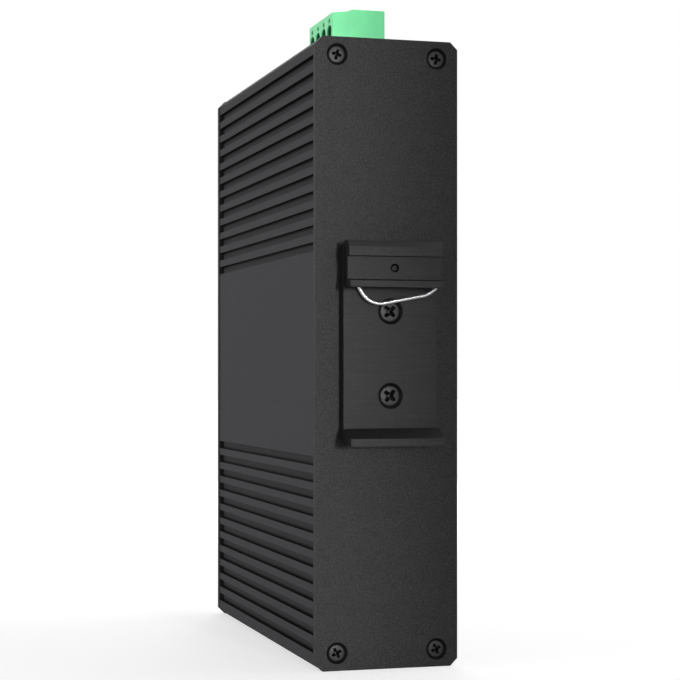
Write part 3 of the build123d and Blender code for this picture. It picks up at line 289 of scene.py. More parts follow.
@dataclass(frozen=True)
class Finish:
    """A surface finish: its colour, gloss, grain and lines. Pattern sizes are in millimetres."""

    slot: str
    colour: Colour
    roughness: float
    metallic: float = 0.0
    specular: float = 0.5
    mottle: float = 0.06
    mottle_size: float = 6.0
    grain_size: float = 0.25
    grain_depth: float = 0.003
    grain_shade: float = 0.04
    grain_gloss: float = 0.04
    lines: Lines = Lines.NONE
    line_size: float = 0.12
    line_depth: float = 0.0015
    line_shade: float = 0.04
    coat: float = 0.0
    coat_roughness: float = 0.08
    transmission: float = 0.0
    subsurface: float = 0.0
    subsurface_reach: float = 1.0

    def material(self) -> bpy.types.Material:
        """Builds the material once, and finds it again after that.

        Returns:
            The material, named after the finish's slot.
        """
        name = f"{self.slot}_finish"
        found = bpy.data.materials.get(name)
        if found is not None:
            return found
        sheet = Sheet(name)
        self.paint(sheet)
        return sheet.material

    def paint(self, sheet: Sheet) -> None:
        """Sets the shader and its patterns.

        Args:
            sheet: the material's empty tree.
        """
        grain = sheet.noise(self.grain_size, 3.0)
        clouds = sheet.noise(self.mottle_size)
        shade = sheet.product(
            sheet.ranged(clouds, 1 - self.mottle, 1 + self.mottle),
            sheet.ranged(grain, 1 - self.grain_shade, 1 + self.grain_shade),
        )
        normal = sheet.bumped(grain, self.grain_depth)
        if self.lines is not Lines.NONE:
            drawn = sheet.noise(self.line_size, place=sheet.scaled(sheet.place, self.lines.value))
            normal = sheet.bumped(drawn, self.line_depth, normal)
            streaks = sheet.ranged(drawn, 1 - self.line_shade, 1 + self.line_shade)
            shade = sheet.product(shade, streaks)
        low, high = self.roughness - self.grain_gloss, self.roughness + self.grain_gloss
        inputs = {
            "Base Color": self.tinted(sheet, sheet.shaded(self.colour, shade)),
            "Roughness": sheet.ranged(grain, low, high),
            "Normal": normal,
            "Metallic": self.metallic,
            "Specular IOR Level": self.specular,
            "Coat Weight": self.coat,
            "Coat Roughness": self.coat_roughness,
            "Transmission Weight": self.transmission,
        }
        if self.subsurface:
            inputs["Subsurface Weight"] = self.subsurface
            inputs["Subsurface Radius"] = self.colour
            inputs["Subsurface Scale"] = self.subsurface_reach * MM
        sheet.fill(sheet.shader, inputs)

    def tinted(self, sheet: Sheet, colour: Socket) -> Socket:
        """Leaves the colour as it is; finishes with a second colour add it here."""
        return colour


@dataclass(frozen=True)
class BoardFinish(Finish):
    """Lacquered circuit board, with copper tracks that show lighter through the lacquer."""

    track_colour: Colour = (0.05, 0.26, 0.12)
    track_pitch: float = 1.3
    track_share: float = 0.42
    track_blur: float = 0.03
    track_bend: float = 5.2
    patch_size: float = 9.0
    patch_step: float = 0.12
    patch_edge: Span = (0.46, 0.47)

    def tinted(self, sheet: Sheet, colour: Socket) -> Socket:
        """Draws tracks that run up the board in patches.

        The pattern is a saw-tooth across the board, cut at track_share of its pitch, and
        only where a coarse cloud is dense. Steps of the cloud shift the tracks sideways,
        by track_bend for each 1 of the cloud.

        Args:
            sheet: the material's tree.
            colour: the lacquer's colour.

        Returns:
            The lacquer with its tracks.
        """
        cloud = sheet.noise(self.patch_size, 0.0)
        steps = sheet.maths("SNAP", cloud, self.patch_step)
        bent = sheet.maths("MULTIPLY_ADD", steps, self.track_bend, sheet.split(sheet.place)[1])
        saw = sheet.maths("PINGPONG", bent, self.track_pitch / 2)
        edge = self.track_share * self.track_pitch / 2
        track = sheet.ranged(saw, 1.0, 0.0, edge - self.track_blur, edge + self.track_blur)
        patch = sheet.ranged(cloud, 0.0, 1.0, *self.patch_edge)
        return sheet.mixed(sheet.product(track, patch), colour, self.track_colour)


@dataclass(frozen=True)
class DrilledFinish(Finish):
    """Surface with painted shade in its round holes, the countersinks and wells where shade falls.

    Holes repeat on both sides of a middle: the distance from the nearest hole's axis is
    the length of |place - middle| - offset, with the axis's own direction left out. The
    fade says where the painted shade starts to thin and where it ends, from the hole's radius.
    """

    middle: Point = (0.0, 0.0, 1.1)
    offset: Point = (12.45, 0.0, 70.8)
    across: Point = (1.0, 0.0, 1.0)
    hole_radius: float = 2.62
    fade: Span = (-0.06, 0.02)
    # Near-black painted shade put in the holes.
    painted_shade: Colour = (0.0026, 0.0026, 0.0026)

    def tinted(self, sheet: Sheet, colour: Socket) -> Socket:
        """Fades into the painted shade within hole_radius of an axis.

        Args:
            sheet: the material's tree.
            colour: the surface's colour.

        Returns:
            The surface with painted shade in its holes.
        """
        inside = self.inside(sheet, self.distance(sheet, self.offset))
        return sheet.mixed(inside, colour, self.painted_shade)

    def inside(self, sheet: Sheet, distance: Socket) -> Socket:
        """1 in a hole and 0 beside it, for this distance from its axis."""
        start, end = (self.hole_radius + step for step in self.fade)
        return sheet.ranged(distance, 1.0, 0.0, start, end)

    def distance(self, sheet: Sheet, offset: Point) -> Socket:
        """Distance from the nearest of the axes at this offset.

        Args:
            sheet: the material's tree.
            offset: distance of the axes from the middle along each direction.

        Returns:
            The distance in millimetres.
        """
        folded = sheet.vector("ABSOLUTE", sheet.vector("SUBTRACT", sheet.place, self.middle))
        flat = sheet.vector("MULTIPLY", sheet.vector("SUBTRACT", folded, offset), self.across)
        return sheet.length(flat)


@dataclass(frozen=True)
class PlugFinish(DrilledFinish):
    """Green plastic, with painted shade in its screw wells and notches, an inner and an outer pair.

    The painted shade lies below well_top and above well_floor, which are places along x.
    """

    middle: Point = (0.0, -38.75, 83.6)
    offset: Point = (0.0, 2.54, 0.0)
    outer_offset: Point = (0.0, 7.62, 0.0)
    across: Point = (0.0, 1.0, 0.52)
    hole_radius: float = 1.9
    fade: Span = (0.04, 0.1)
    well_top: Span = (5.3, 5.65)
    well_floor: Span = (2.7, 2.8)
    # Dark green painted shade for the wells.
    painted_shade: Colour = (0.008, 0.14, 0.05)

    def tinted(self, sheet: Sheet, colour: Socket) -> Socket:
        """Fades into painted shade inside the wells, below the screw face.

        Args:
            sheet: the material's tree.
            colour: the plastic's colour.

        Returns:
            The plastic with painted shade in its wells.
        """
        inner, outer = (self.distance(sheet, at) for at in (self.offset, self.outer_offset))
        well = self.inside(sheet, sheet.maths("MINIMUM", inner, outer))
        x = sheet.split(sheet.place)[0]
        sunk = sheet.ranged(x, 1.0, 0.0, *self.well_top)
        above = sheet.ranged(x, 0.0, 1.0, *self.well_floor)
        return sheet.mixed(sheet.product(well, sheet.product(sunk, above)), colour, self.painted_shade)


@dataclass(frozen=True)
class ScrewFinish(Finish):
    """Blackened steel, plain on the flat of the head, with painted shade in the recess and on the
    rim.

    The first direction of a screw's UV map counts its rows. The recess's painted shade ends over
    the rows recess_shade_rows, and the rim's painted shade starts over the rows rim_shade_rows.
    """

    recess_shade_rows: Span = (4.6, 5.0)
    rim_shade_rows: Span = (7.0, 7.5)
    # Near-black painted shade in the recess and on the rim.
    painted_shade: Colour = (0.004, 0.004, 0.004)

    def tinted(self, sheet: Sheet, colour: Socket) -> Socket:
        """Keeps the plain colour on the flat and fades into painted shade beside it.

        Args:
            sheet: the material's tree.
            colour: the flat's colour.

        Returns:
            The colour with its painted shade.
        """
        row = sheet.split(sheet.node("ShaderNodeUVMap").outputs["UV"])[0]
        recess = sheet.ranged(row, 1.0, 0.0, *self.recess_shade_rows)
        rim = sheet.ranged(row, 0.0, 1.0, *self.rim_shade_rows)
        return sheet.mixed(rim, sheet.mixed(recess, colour, self.painted_shade), self.painted_shade)


@dataclass(frozen=True)
class GroovedFinish(Finish):
    """Matt black coating, with painted shade on the walls and in the corners of the side grooves.
    """

    middle: Point = (0.0, 0.0, 1.1)
    first_edge: float = 70.9
    pitch: float = 4.04
    land: Span = (17.46, 17.56)
    inner: Span = (15.5, 15.6)
    outer_groove: Span = (70.95, 71.0)
    last_groove: Span = (24.2, 24.25)
    # Painted shade factors: on the groove walls by how steeply they face, and across the floors
    # near both walls.
    wall: Fade = (1.0, 0.22, 0.6, 0.8)
    far_corner_painted_shade: Fade = (0.36, 0.8, 0.25, 0.6)
    floor: Fade = (0.86, 1.0, 0.6, 1.9)
    near_corner_painted_shade: Fade = (1.0, 0.25, 1.8, 2.02)

    def tinted(self, sheet: Sheet, colour: Socket) -> Socket:
        """Paints shade on the groove walls, and on the floors beside them.

        With z from the sleeve's middle, a floor's place across its groove is
        (first_edge - |z|) modulo pitch, which is 0 at the wall farther from the middle.
        The spans say where a part of the pattern starts and ends, and each fade gives
        its two shades and the places of both.

        Args:
            sheet: the material's tree.
            colour: the coating's colour.

        Returns:
            The coating with painted shade in its grooves.
        """
        centred = sheet.vector("SUBTRACT", sheet.place, self.middle)
        x, _, z = sheet.split(sheet.vector("ABSOLUTE", centred))
        below_land = sheet.ranged(x, 1.0, 0.0, *self.land)
        sunk = sheet.product(below_land, sheet.ranged(x, 0.0, 1.0, *self.inner))
        outer = sheet.ranged(z, 1.0, 0.0, *self.outer_groove)
        band = sheet.product(outer, sheet.ranged(z, 0.0, 1.0, *self.last_groove))
        # Painted shade: the up- and down-facing groove walls go darker.
        steepness = sheet.split(sheet.vector("ABSOLUTE", sheet.facing()))[2]
        shade = sheet.ranged(steepness, *self.wall)
        from_edge = sheet.ranged(z, self.first_edge, 0.0, 0.0, self.first_edge)
        across = sheet.maths("FLOORED_MODULO", from_edge, self.pitch)
        for fade in (self.far_corner_painted_shade, self.floor, self.near_corner_painted_shade):
            shade = sheet.product(shade, sheet.ranged(across, *fade))
        return sheet.mixed(sheet.product(sunk, band), colour, sheet.shaded(colour, shade))


@dataclass(frozen=True)
class SawnFinish(DrilledFinish):
    """Coated clip, with painted shade on its sawn ends, its upward faces and its countersinks."""

    offset: Point = (0.0, 0.0, 10.0)
    hole_radius: float = 3.12
    # Painted shade on upward faces, by how much their normal points up, and on both sawn ends, by
    # |x|.
    upper: Fade = (0.0, 0.8, 0.55, 0.88)
    end: Fade = (0.0, 0.85, 11.56, 11.66)

    def tinted(self, sheet: Sheet, colour: Socket) -> Socket:
        """Adds painted shade on the ends and upward faces to that in the countersinks.

        Args:
            sheet: the material's tree.
            colour: the coating's colour.

        Returns:
            The coating with its painted shade.
        """
        # Painted shade: upward faces and sawn ends go to the near-black painted_shade colour.
        upper = sheet.ranged(sheet.split(sheet.facing())[2], *self.upper)
        end = sheet.ranged(sheet.split(sheet.vector("ABSOLUTE", sheet.place))[0], *self.end)
        base = sheet.mixed(upper, super().tinted(sheet, colour), self.painted_shade)
        return sheet.mixed(end, base, self.painted_shade)


@dataclass(frozen=True)
class WireFinish(Finish):
    """Bright drawn wire, its fine lines running along the wire by its own UV map."""

    streak_scale: Point = (0.6, 26.0, 1.0)
    streak: Fade = (0.0, 0.2, 0.45, 0.75)
    streak_colour: Colour = (0.3, 0.3, 0.31)

    def tinted(self, sheet: Sheet, colour: Socket) -> Socket:
        """Adds streaks that are long along the wire and narrow around it.

        Args:
            sheet: the material's tree.
            colour: the steel's colour.

        Returns:
            The steel with darker streaks.
        """
        own = sheet.node("ShaderNodeUVMap").outputs["UV"]
        streaks = sheet.noise(1.0, place=sheet.scaled(own, self.streak_scale))
        return sheet.mixed(sheet.ranged(streaks, *self.streak), colour, self.streak_colour)


class Finishes:
    """The finishes of this switch, by the record's material slots."""

    SLEEVE = GroovedFinish(
        "sleeve_aluminium", (0.0585, 0.0565, 0.06), 0.75, specular=0.03, mottle=0.02,
        grain_size=0.12, grain_depth=0.0008, grain_shade=0.03, lines=Lines.ALONG_Y,
        line_size=0.25, line_depth=0.0003,
    )
    PLATE = DrilledFinish(
        "plate_black", (0.0305, 0.0305, 0.0308), 0.55, specular=0.05, mottle=0.05,
        mottle_size=3.0, grain_size=0.34, grain_depth=0.025, grain_shade=0.45, grain_gloss=0.06,
    )
    CLIP = SawnFinish(
        "clip_black", (0.0243, 0.0243, 0.0243), 0.52, specular=0.08, mottle=0.05, mottle_size=2.5,
        grain_size=0.3, grain_depth=0.015, grain_shade=0.3, lines=Lines.ALONG_X,
        line_size=0.3, line_depth=0.006, line_shade=0.12,
    )
    BLACK_SCREW = ScrewFinish(
        "screw_black", (0.018, 0.018, 0.0185), 0.42, specular=0.18, mottle=0.2, mottle_size=0.5,
        grain_size=0.12, grain_depth=0.004, grain_shade=0.2,
    )
    WIRE = WireFinish(
        "spring_steel", (0.4, 0.4, 0.41), 0.3, metallic=0.9, mottle=0.02, mottle_size=3.0,
        grain_size=0.08, grain_depth=0.0002, grain_shade=0.02,
    )
    STEEL = Finish(
        "plain_steel", (0.4, 0.4, 0.39), 0.34, metallic=1.0, mottle=0.1, mottle_size=1.2,
        grain_size=0.1, grain_depth=0.0015, grain_shade=0.06,
    )
    BOARD = BoardFinish(
        "board_green", (0.012, 0.105, 0.04), 0.3, mottle=0.08, grain_size=0.4, grain_depth=0.004,
        coat=0.3,
    )
    FILM = Finish("film_black", (0.012, 0.012, 0.013), 0.25, mottle=0.1, grain_depth=0.004)
    SOCKET = Finish(
        "socket_black", (0.018, 0.018, 0.019), 0.32, specular=0.45, mottle=0.05, mottle_size=3.0,
        grain_size=0.14, grain_depth=0.004, grain_shade=0.05,
    )
    GOLD = Finish(
        "contact_gold", (0.83, 0.52, 0.17), 0.22, metallic=1.0, mottle=0.05, mottle_size=0.7,
        grain_size=0.06, grain_depth=0.0005,
    )
    TIN = Finish(
        "contact_tin", (0.6, 0.6, 0.59), 0.32, metallic=1.0, mottle=0.12, mottle_size=1.0,
        grain_size=0.12, grain_depth=0.001,
    )
    CLEAR_LAMP = Finish(
        "lamp_clear", (0.4, 0.43, 0.37), 0.25, transmission=0.3, mottle=0.05, subsurface=0.2,
        grain_size=0.5, grain_depth=0.002,
    )
    GREEN_LAMP = Finish(
        "lamp_green", (0.12, 0.4, 0.13), 0.22, transmission=0.3, mottle=0.08, subsurface=0.2,
        grain_size=0.6, grain_depth=0.002,
    )
    SHIELD = Finish(
        "shield_tin", (0.5, 0.5, 0.49), 0.36, metallic=1.0, mottle=0.1, mottle_size=3.0,
        grain_size=0.2, grain_depth=0.0015, lines=Lines.ALONG_Z, line_size=0.1, line_depth=0.001,
    )
    PLUG = PlugFinish(
        "plug_green", (0.158, 0.83, 0.35), 0.4, specular=0.4, mottle=0.03, mottle_size=4.0,
        grain_size=0.18, grain_depth=0.004, grain_shade=0.03, subsurface=0.25,
        subsurface_reach=1.5,
    )
    CHIP = Finish("chip_black", (0.02, 0.02, 0.021), 0.5, mottle=0.1, grain_depth=0.006)
    PAD = Finish("pad_grey", (0.3, 0.3, 0.32), 0.7, mottle=0.1, grain_size=0.5, grain_depth=0.02)
    SINK = Finish(
        "sink_aluminium", (0.045, 0.045, 0.05), 0.4, metallic=0.4, lines=Lines.ALONG_Y,
        line_depth=0.002,
    )
    FERRITE = Finish(
        "ferrite_grey", (0.06, 0.06, 0.062), 0.6, mottle=0.15, grain_size=0.3, grain_depth=0.012,
        grain_shade=0.15,
    )
    CAN = Finish(
        "can_aluminium", (0.66, 0.66, 0.67), 0.28, metallic=1.0, lines=Lines.ALONG_X,
        line_size=0.08, line_depth=0.001,
    )


class Pieces:
    """Short ways to put a piece into the frame."""

    def __init__(self, frame: dict) -> None:
        """Keeps the loaded frame.
        """
        self.nodes: dict[str, bpy.types.Object] = frame["nodes"]
        bodies = frame["record"]["behaviour"]["bodies"]
        self.body_of = {node: body for body, members in bodies.items() for node in members}

    def dress(self, finish: Finish, *nodes: str) -> None:
        """Gives CAD nodes a finish.

        Args:
            finish: the finish.
            nodes: the nodes that get it.
        """
        for node in nodes:
            materials = self.nodes[node].data.materials
            materials.clear()
            materials.append(finish.material())
            LOG.info("%s dressed as %s", node, finish.slot)

    def place(self, piece: bpy.types.Object, finish: Finish, node: str) -> None:
        """Lets a new piece stand for a node.

        Args:
            piece: the new piece, in place.
            finish: its finish.
            node: the node that it stands for.
        """
        piece.data.materials.clear()
        piece.data.materials.append(finish.material())
        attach(piece, self.body_of[node])
        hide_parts(node)
        LOG.info("%s stands for %s", piece.name, node)

    def soften(self, finish: Finish, edge: float, *nodes: str) -> None:
        """Replaces nodes by copies with their sharp edges broken.

        The copy's loose triangles are merged, flat faces are joined up, and a bevel of
        the given width follows every edge that turns by more than EDGE_ANGLE.

        Args:
            finish: the finish of the copies.
            edge: width of the broken edge in millimetres.
            nodes: the nodes to copy.
        """
        for node in nodes:
            shape = bmesh.new()
            shape.from_mesh(self.nodes[node].data)
            bmesh.ops.remove_doubles(shape, verts=shape.verts, dist=CAD_MERGE_DISTANCE)
            bmesh.ops.dissolve_limit(
                shape, angle_limit=FLAT_ANGLE, verts=shape.verts, edges=shape.edges
            )
            mesh = bpy.data.meshes.new(f"{node}_soft")
            shape.to_mesh(mesh)
            shape.free()
            mesh.shade_smooth()
            piece = linked(f"{node}_soft", mesh)
            bevel = piece.modifiers.new("broken edge", "BEVEL")
            bevel.width = edge * MM
            bevel.segments = BEVEL_STEPS
            bevel.limit_method = "ANGLE"
            bevel.angle_limit = EDGE_ANGLE
            bevel.use_clamp_overlap = False
            weighted = piece.modifiers.new("flat faces", "WEIGHTED_NORMAL")
            weighted.weight = FLAT_FACE_WEIGHT
            self.place(piece, finish, node)


@dataclass
class Surface:
    """Grids of points gathered into one mesh."""

    points: list[Array] = field(default_factory=list)
    faces: list[Array] = field(default_factory=list)
    charts: list[Array] = field(default_factory=list)
    count: int = 0

    def grid(self, points: Array, step: float = 1.0) -> None:
        """Adds a surface given as a grid of points whose last column joins the first.

        Corner (i, j) joins (i+1, j), (i+1, j+1) and (i, j+1). Rows that shrink to one
        point close as poles when the mesh is merged.

        Args:
            points: rows, columns and 3 coordinates, in metres.
            step: distance from row to row in the UV map's first direction.
        """
        rows, columns = points.shape[:2]
        i, j = np.meshgrid(np.arange(rows - 1), np.arange(columns), indexing="ij")
        right = (j + 1) % columns
        corners = [
            i * columns + j, i * columns + right, (i + 1) * columns + right, (i + 1) * columns + j
        ]
        self.faces.append(np.stack(corners, axis=-1).reshape(-1, 4) + self.count)
        u = [i, i, i + 1, i + 1]
        v = [j, j + 1, j + 1, j]
        chart = np.stack([np.stack(u, -1) * step, np.stack(v, -1) / columns], axis=-1)
        self.charts.append(chart.reshape(-1, 2))
        self.points.append(points.reshape(-1, 3))
        self.count += rows * columns

    def piece(self, name: str) -> bpy.types.Object:
        """Makes the object.

        Args:
            name: name of the piece.

        Returns:
            The object, with its seams and poles merged and its normals outwards. Edges
            that turn by more than SHARP_ANGLE stay sharp.
        """
        points = np.concatenate(self.points)
        faces = np.concatenate(self.faces)
        mesh = bpy.data.meshes.new(name)
        mesh.from_pydata(points.tolist(), [], faces.tolist())
        mesh.uv_layers.new(name="UVMap").data.foreach_set("uv", np.concatenate(self.charts).ravel())
        shape = bmesh.new()
        shape.from_mesh(mesh)
        bmesh.ops.remove_doubles(shape, verts=shape.verts, dist=MERGE_DISTANCE)
        bmesh.ops.recalc_face_normals(shape, faces=shape.faces)
        shape.to_mesh(mesh)
        shape.free()
        mesh.shade_smooth()
        mesh.set_sharp_from_angle(angle=SHARP_ANGLE)
        return linked(name, mesh)


class Head(Enum):
    """Shape of a screw's head."""

    SUNK = "sunk"
    PAN = "pan"


@dataclass(frozen=True)
class Recess:
    """Cross recess: from its middle to an arm's end, half an arm's width, and its depth.

    Each step down its wall is a share of its outline and a share of its depth.
    """

    reach: float
    half_width: float
    depth: float
    steps: tuple[Span, ...] = (
        (0.0, 1.0), (0.3, 0.97), (0.52, 0.8), (0.84, 0.42), (0.95, 0.07), (1.0, 0.0)
    )
    core_share: float = 1.7
    arm_power: float = 9.0
    core_power: float = 8.0
    least_sine: float = 1e-3

    def outline(self, angles: Array, turn: float) -> Array:
        """Distance of the recess's edge from its middle.

        With a the angle from the nearest arm, the edge is the smooth least of the arm's
        side, half_width / sin a, and its end, reach, and never nearer than a small
        round core.

        Args:
            angles: directions in radians.
            turn: turn of the arms in radians.

        Returns:
            The distances in millimetres.
        """
        quarter = math.pi / 2
        from_arm = np.abs((angles - turn + quarter / 2) % quarter - quarter / 2)
        side = self.half_width / np.maximum(np.sin(from_arm), self.least_sine)
        edge = (side**-self.arm_power + self.reach**-self.arm_power) ** (-1 / self.arm_power)
        core = self.core_share * self.half_width
        return (edge**self.core_power + core**self.core_power) ** (1 / self.core_power)


@dataclass(frozen=True)
class Screw:
    """A screw with a cross recess and a rolled thread, its axis along its own z.

    A sunk head's rim steps down by sunk_rim, shares of the head's radius with their
    heights, and its cone ends cone_cut early. A pan head's rim is a quarter ellipse,
    dome_width wide and dome_share of the head high, above its foot.
    """

    head: Head
    head_radius: float
    shank_radius: float
    length: float
    recess: Recess
    head_height: float = 0.0
    thread_pitch: float = 0.5
    thread_depth: float = 0.12
    thread_rows: int = 6
    plain_length: float = 0.3
    run_in: float = 0.4
    run_out: float = 0.2
    run_out_share: float = 0.3
    tip_share: float = 0.55
    sunk_rim: tuple[Span, ...] = ((0.82, 0.0), (0.9, -0.04), (0.96, -0.13), (1.0, -0.3))
    cone_cut: float = 0.1
    dome_width: float = 1.15
    dome_share: float = 0.45
    dome_rows: int = 7
    foot: Span = (0.05, 0.04)
    lip_share: float = 0.06
    columns: int = 96

    def rows(self, turn: float) -> tuple[Array, Array]:
        """Radius and height of every row and column, from the recess's floor to the tip.

        The recess's rows are its outline scaled down with depth; the face runs from the
        outline to the head's edge; the thread is a triangle wave of the height less the
        turn, so that it climbs one pitch in each turn.

        Args:
            turn: turn of the recess in radians.

        Returns:
            Radii and heights in millimetres, each rows by columns.
        """
        angles = ring(self.columns)
        outline = self.recess.outline(angles, turn)
        one = np.ones_like(angles)
        face = self.face_profile()
        rim_radius, rim_height = face[0]
        recess_rows = [
            (share * outline, (rim_height - sunk * self.recess.depth) * one)
            for share, sunk in self.recess.steps
        ]
        face_rows = [
            (outline + (rim_radius - outline) * share, rim_height * one)
            for share in (self.lip_share, 1.0)
        ]
        edge_rows = [(radius * one, height * one) for radius, height in face[1:]]
        radii, heights = (np.array(part) for part in zip(*(recess_rows + face_rows + edge_rows)))
        thread_radii, thread_heights = self.thread(angles, face[-1][1])
        return np.vstack([radii, thread_radii]), np.vstack([heights, thread_heights])

    def face_profile(self) -> list[Span]:
        """Profile of the head from the flat of its face down to the shank.

        Returns:
            Radius and height of each corner, in millimetres, the face's flat first.
        """
        edge = self.head_radius
        if self.head is Head.SUNK:
            rim = [(share * edge, height) for share, height in self.sunk_rim]
            cone = edge - self.shank_radius - self.cone_cut
            return [*rim, (self.shank_radius, rim[-1][1] - cone)]
        flank = self.dome_share * self.head_height
        hub_radius, hub_height = edge - self.dome_width, self.head_height - flank
        dome = [
            (hub_radius + self.dome_width * math.sin(a), hub_height + flank * math.cos(a))
            for a in np.linspace(0, math.pi / 2, self.dome_rows)
        ]
        inset, rise = self.foot
        return [*dome, (edge, rise), (edge - inset, 0.0), (self.shank_radius, 0.0)]

    def thread(self, angles: Array, start: float) -> tuple[Array, Array]:
        """Rows of the threaded shank and its pointed end.

        Args:
            angles: directions of the columns in radians.
            start: height at which the shank leaves the head.

        Returns:
            Radii and heights in millimetres.
        """
        end = -self.length
        plain = start - self.plain_length
        count = int((plain - end) / self.thread_pitch * self.thread_rows)
        heights = np.linspace(plain, end, count)[:, None] * np.ones_like(angles)
        phase = (heights / self.thread_pitch - angles / (2 * math.pi)) % 1.0
        ridge = np.abs(2 * phase - 1)
        fade_in = np.clip((plain - heights) / self.run_in, 0, 1)
        fade_out = np.clip((heights - end) / self.run_out + self.run_out_share, 0, 1)
        radii = self.shank_radius - self.thread_depth * ridge * fade_in * fade_out
        tip = np.stack([self.tip_share * self.shank_radius * np.ones_like(angles), 0 * angles])
        return np.vstack([radii, tip]), np.vstack([heights, np.full_like(tip, end)])

    def grid(self, origin: Point, turn: float, out: Array, right: Array) -> Array:
        """The screw's surface in its place.

        Args:
            origin: middle of the head's underside plane or sunk face, in millimetres.
            turn: turn of the recess in degrees, anticlockwise as seen.
            out: direction out of the head.
            right: direction to the right of a viewer who faces the head.

        Returns:
            Grid of points in metres.
        """
        radii, heights = self.rows(math.radians(turn))
        angles = ring(self.columns)
        up = np.cross(out, right)
        flat = radii[..., None] * (np.cos(angles)[:, None] * right + np.sin(angles)[:, None] * up)
        return (flat + heights[..., None] * out + np.array(origin)) * MM


REAR = (np.array([0.0, 1.0, 0.0]), np.array([-1.0, 0.0, 0.0]))
FRONT = (np.array([0.0, -1.0, 0.0]), np.array([1.0, 0.0, 0.0]))
TOP = (np.array([0.0, 0.0, 1.0]), np.array([1.0, 0.0, 0.0]))


@dataclass
class Case:
    """Extruded sleeve between two plates, with the plates' corner screws."""

    middle_z: float = 1.1
    screw_x: float = 12.45
    screw_z: float = 70.8
    rear_head_y: float = -2.85
    front_head_y: float = -104.05
    rear_turns: tuple[float, ...] = (-13.0, -8.0, 28.0, 25.0)
    front_turns: tuple[float, ...] = (12.0, 40.0, -24.0, 66.0)
    corner_screw: Screw = Screw(
        Head.SUNK, 2.15, 1.25, 9.0, Recess(1.3, 0.37, 1.15), thread_depth=0.14
    )

    def build(self, pieces: Pieces) -> None:
        """Softens the sleeve and plates and sets the corner screws."""
        pieces.soften(Finishes.SLEEVE, 0.06, "housing_sleeve")
        pieces.soften(Finishes.PLATE, 0.08, "rear_plate", "front_plate")
        self.set_screws(pieces, "rear_plate_screws", self.rear_head_y, REAR, self.rear_turns)
        self.set_screws(pieces, "front_plate_screws", self.front_head_y, FRONT, self.front_turns)

    def set_screws(
        self,
        pieces: Pieces,
        node: str,
        head_y: float,
        facing: tuple[Array, Array],
        turns: tuple[float, ...],
    ) -> None:
        """Sets a plate's four screws, upper pair first, left to right as seen.

        Args:
            pieces: where pieces are placed.
            node: node of the four screws.
            head_y: depth of the heads' faces.
            facing: directions out of the heads and to the viewer's right.
            turns: turn of each recess in degrees.
        """
        out, right = facing
        corners = [(side * right[0], level) for level in (1, -1) for side in (-1, 1)]
        surface = Surface()
        for (side, level), turn in zip(corners, turns):
            origin = (side * self.screw_x, head_y, self.middle_z + level * self.screw_z)
            surface.grid(self.corner_screw.grid(origin, turn, out, right))
        pieces.place(surface.piece(f"{node}_cut"), Finishes.BLACK_SCREW, node)


@dataclass
class WireBow:
    """Wire spring: a bow between two legs whose ends turn in above the pin."""

    plane_y: float = 1.15
    radius: float = 0.475
    corners: tuple[Span, ...] = (
        (1.3, 22.675), (8.2, 22.675), (8.2, 16.6), (5.56, 12.31),
        (-8.7, 15.08), (-11.1, 16.8), (-11.1, 22.675), (-1.3, 22.675),
    )
    bends: tuple[float, ...] = (1.2, 1.5, 5.2, 5.0, 1.6, 1.2)
    columns: int = 28
    step: float = 0.25
    cap_rows: int = 5
    cap_share: float = 0.5
    chart_length: float = 8.0

    def centreline(self) -> Array:
        """Middle of the wire, in its own plane.

        Each corner is rounded by an arc that touches both runs: it starts and ends the
        bend's radius times the tangent of half the turn away from the corner.

        Returns:
            Points as x and z in millimetres.
        """
        corners = np.array(self.corners)
        runs = np.diff(corners, axis=0)
        ways = runs / np.linalg.norm(runs, axis=1)[:, None]
        turns = np.arctan2(
            ways[:-1, 0] * ways[1:, 1] - ways[:-1, 1] * ways[1:, 0], (ways[:-1] * ways[1:]).sum(1)
        )
        reach = np.array(self.bends) * np.tan(np.abs(turns) / 2)
        line = [corners[:1]]
        for corner, way, turn, bend, back in zip(corners[1:-1], ways, turns, self.bends, reach):
            side = np.sign(turn)
            start = corner - way * back
            hub = start + side * bend * np.array([-way[1], way[0]])
            count = max(4, int(bend * abs(turn) / self.step) + 2)
            swing = np.linspace(0, turn, count)
            arm = start - hub
            square = np.array([-arm[1], arm[0]])
            line.append(hub + np.outer(np.cos(swing), arm) + np.outer(np.sin(swing), square))
        line.append(corners[-1:])
        return np.concatenate(line)

    def surface(self) -> Surface:
        """Tube round the centreline with its ends rounded.

        Returns:
            The tube as a surface.
        """
        line = self.centreline()
        way = np.gradient(line, axis=0)
        way /= np.linalg.norm(way, axis=1)[:, None]
        side = np.stack([-way[:, 1], way[:, 0]], axis=1)
        angles = ring(self.columns)
        cap = np.linspace(0, math.pi / 2, self.cap_rows + 1)[1:]
        beyond = (self.cap_share * self.radius * np.sin(cap))[:, None]
        head = line[0] - way[0] * beyond[::-1]
        middle = np.concatenate([head, line, line[-1] + way[-1] * beyond])
        thin = np.cos(cap)
        girth = np.concatenate([thin[::-1], np.ones(len(line)), thin]) * self.radius
        sides = np.pad(side, ((self.cap_rows, self.cap_rows), (0, 0)), mode="edge")
        out = girth[:, None] * np.cos(angles)
        flat = girth[:, None] * np.sin(angles)
        x = middle[:, :1] + flat * sides[:, :1]
        z = middle[:, 1:] + flat * sides[:, 1:]
        surface = Surface()
        points = np.stack([x, self.plane_y + out, z], axis=-1) * MM
        surface.grid(points, self.chart_length / (len(points) - 1))
        return surface


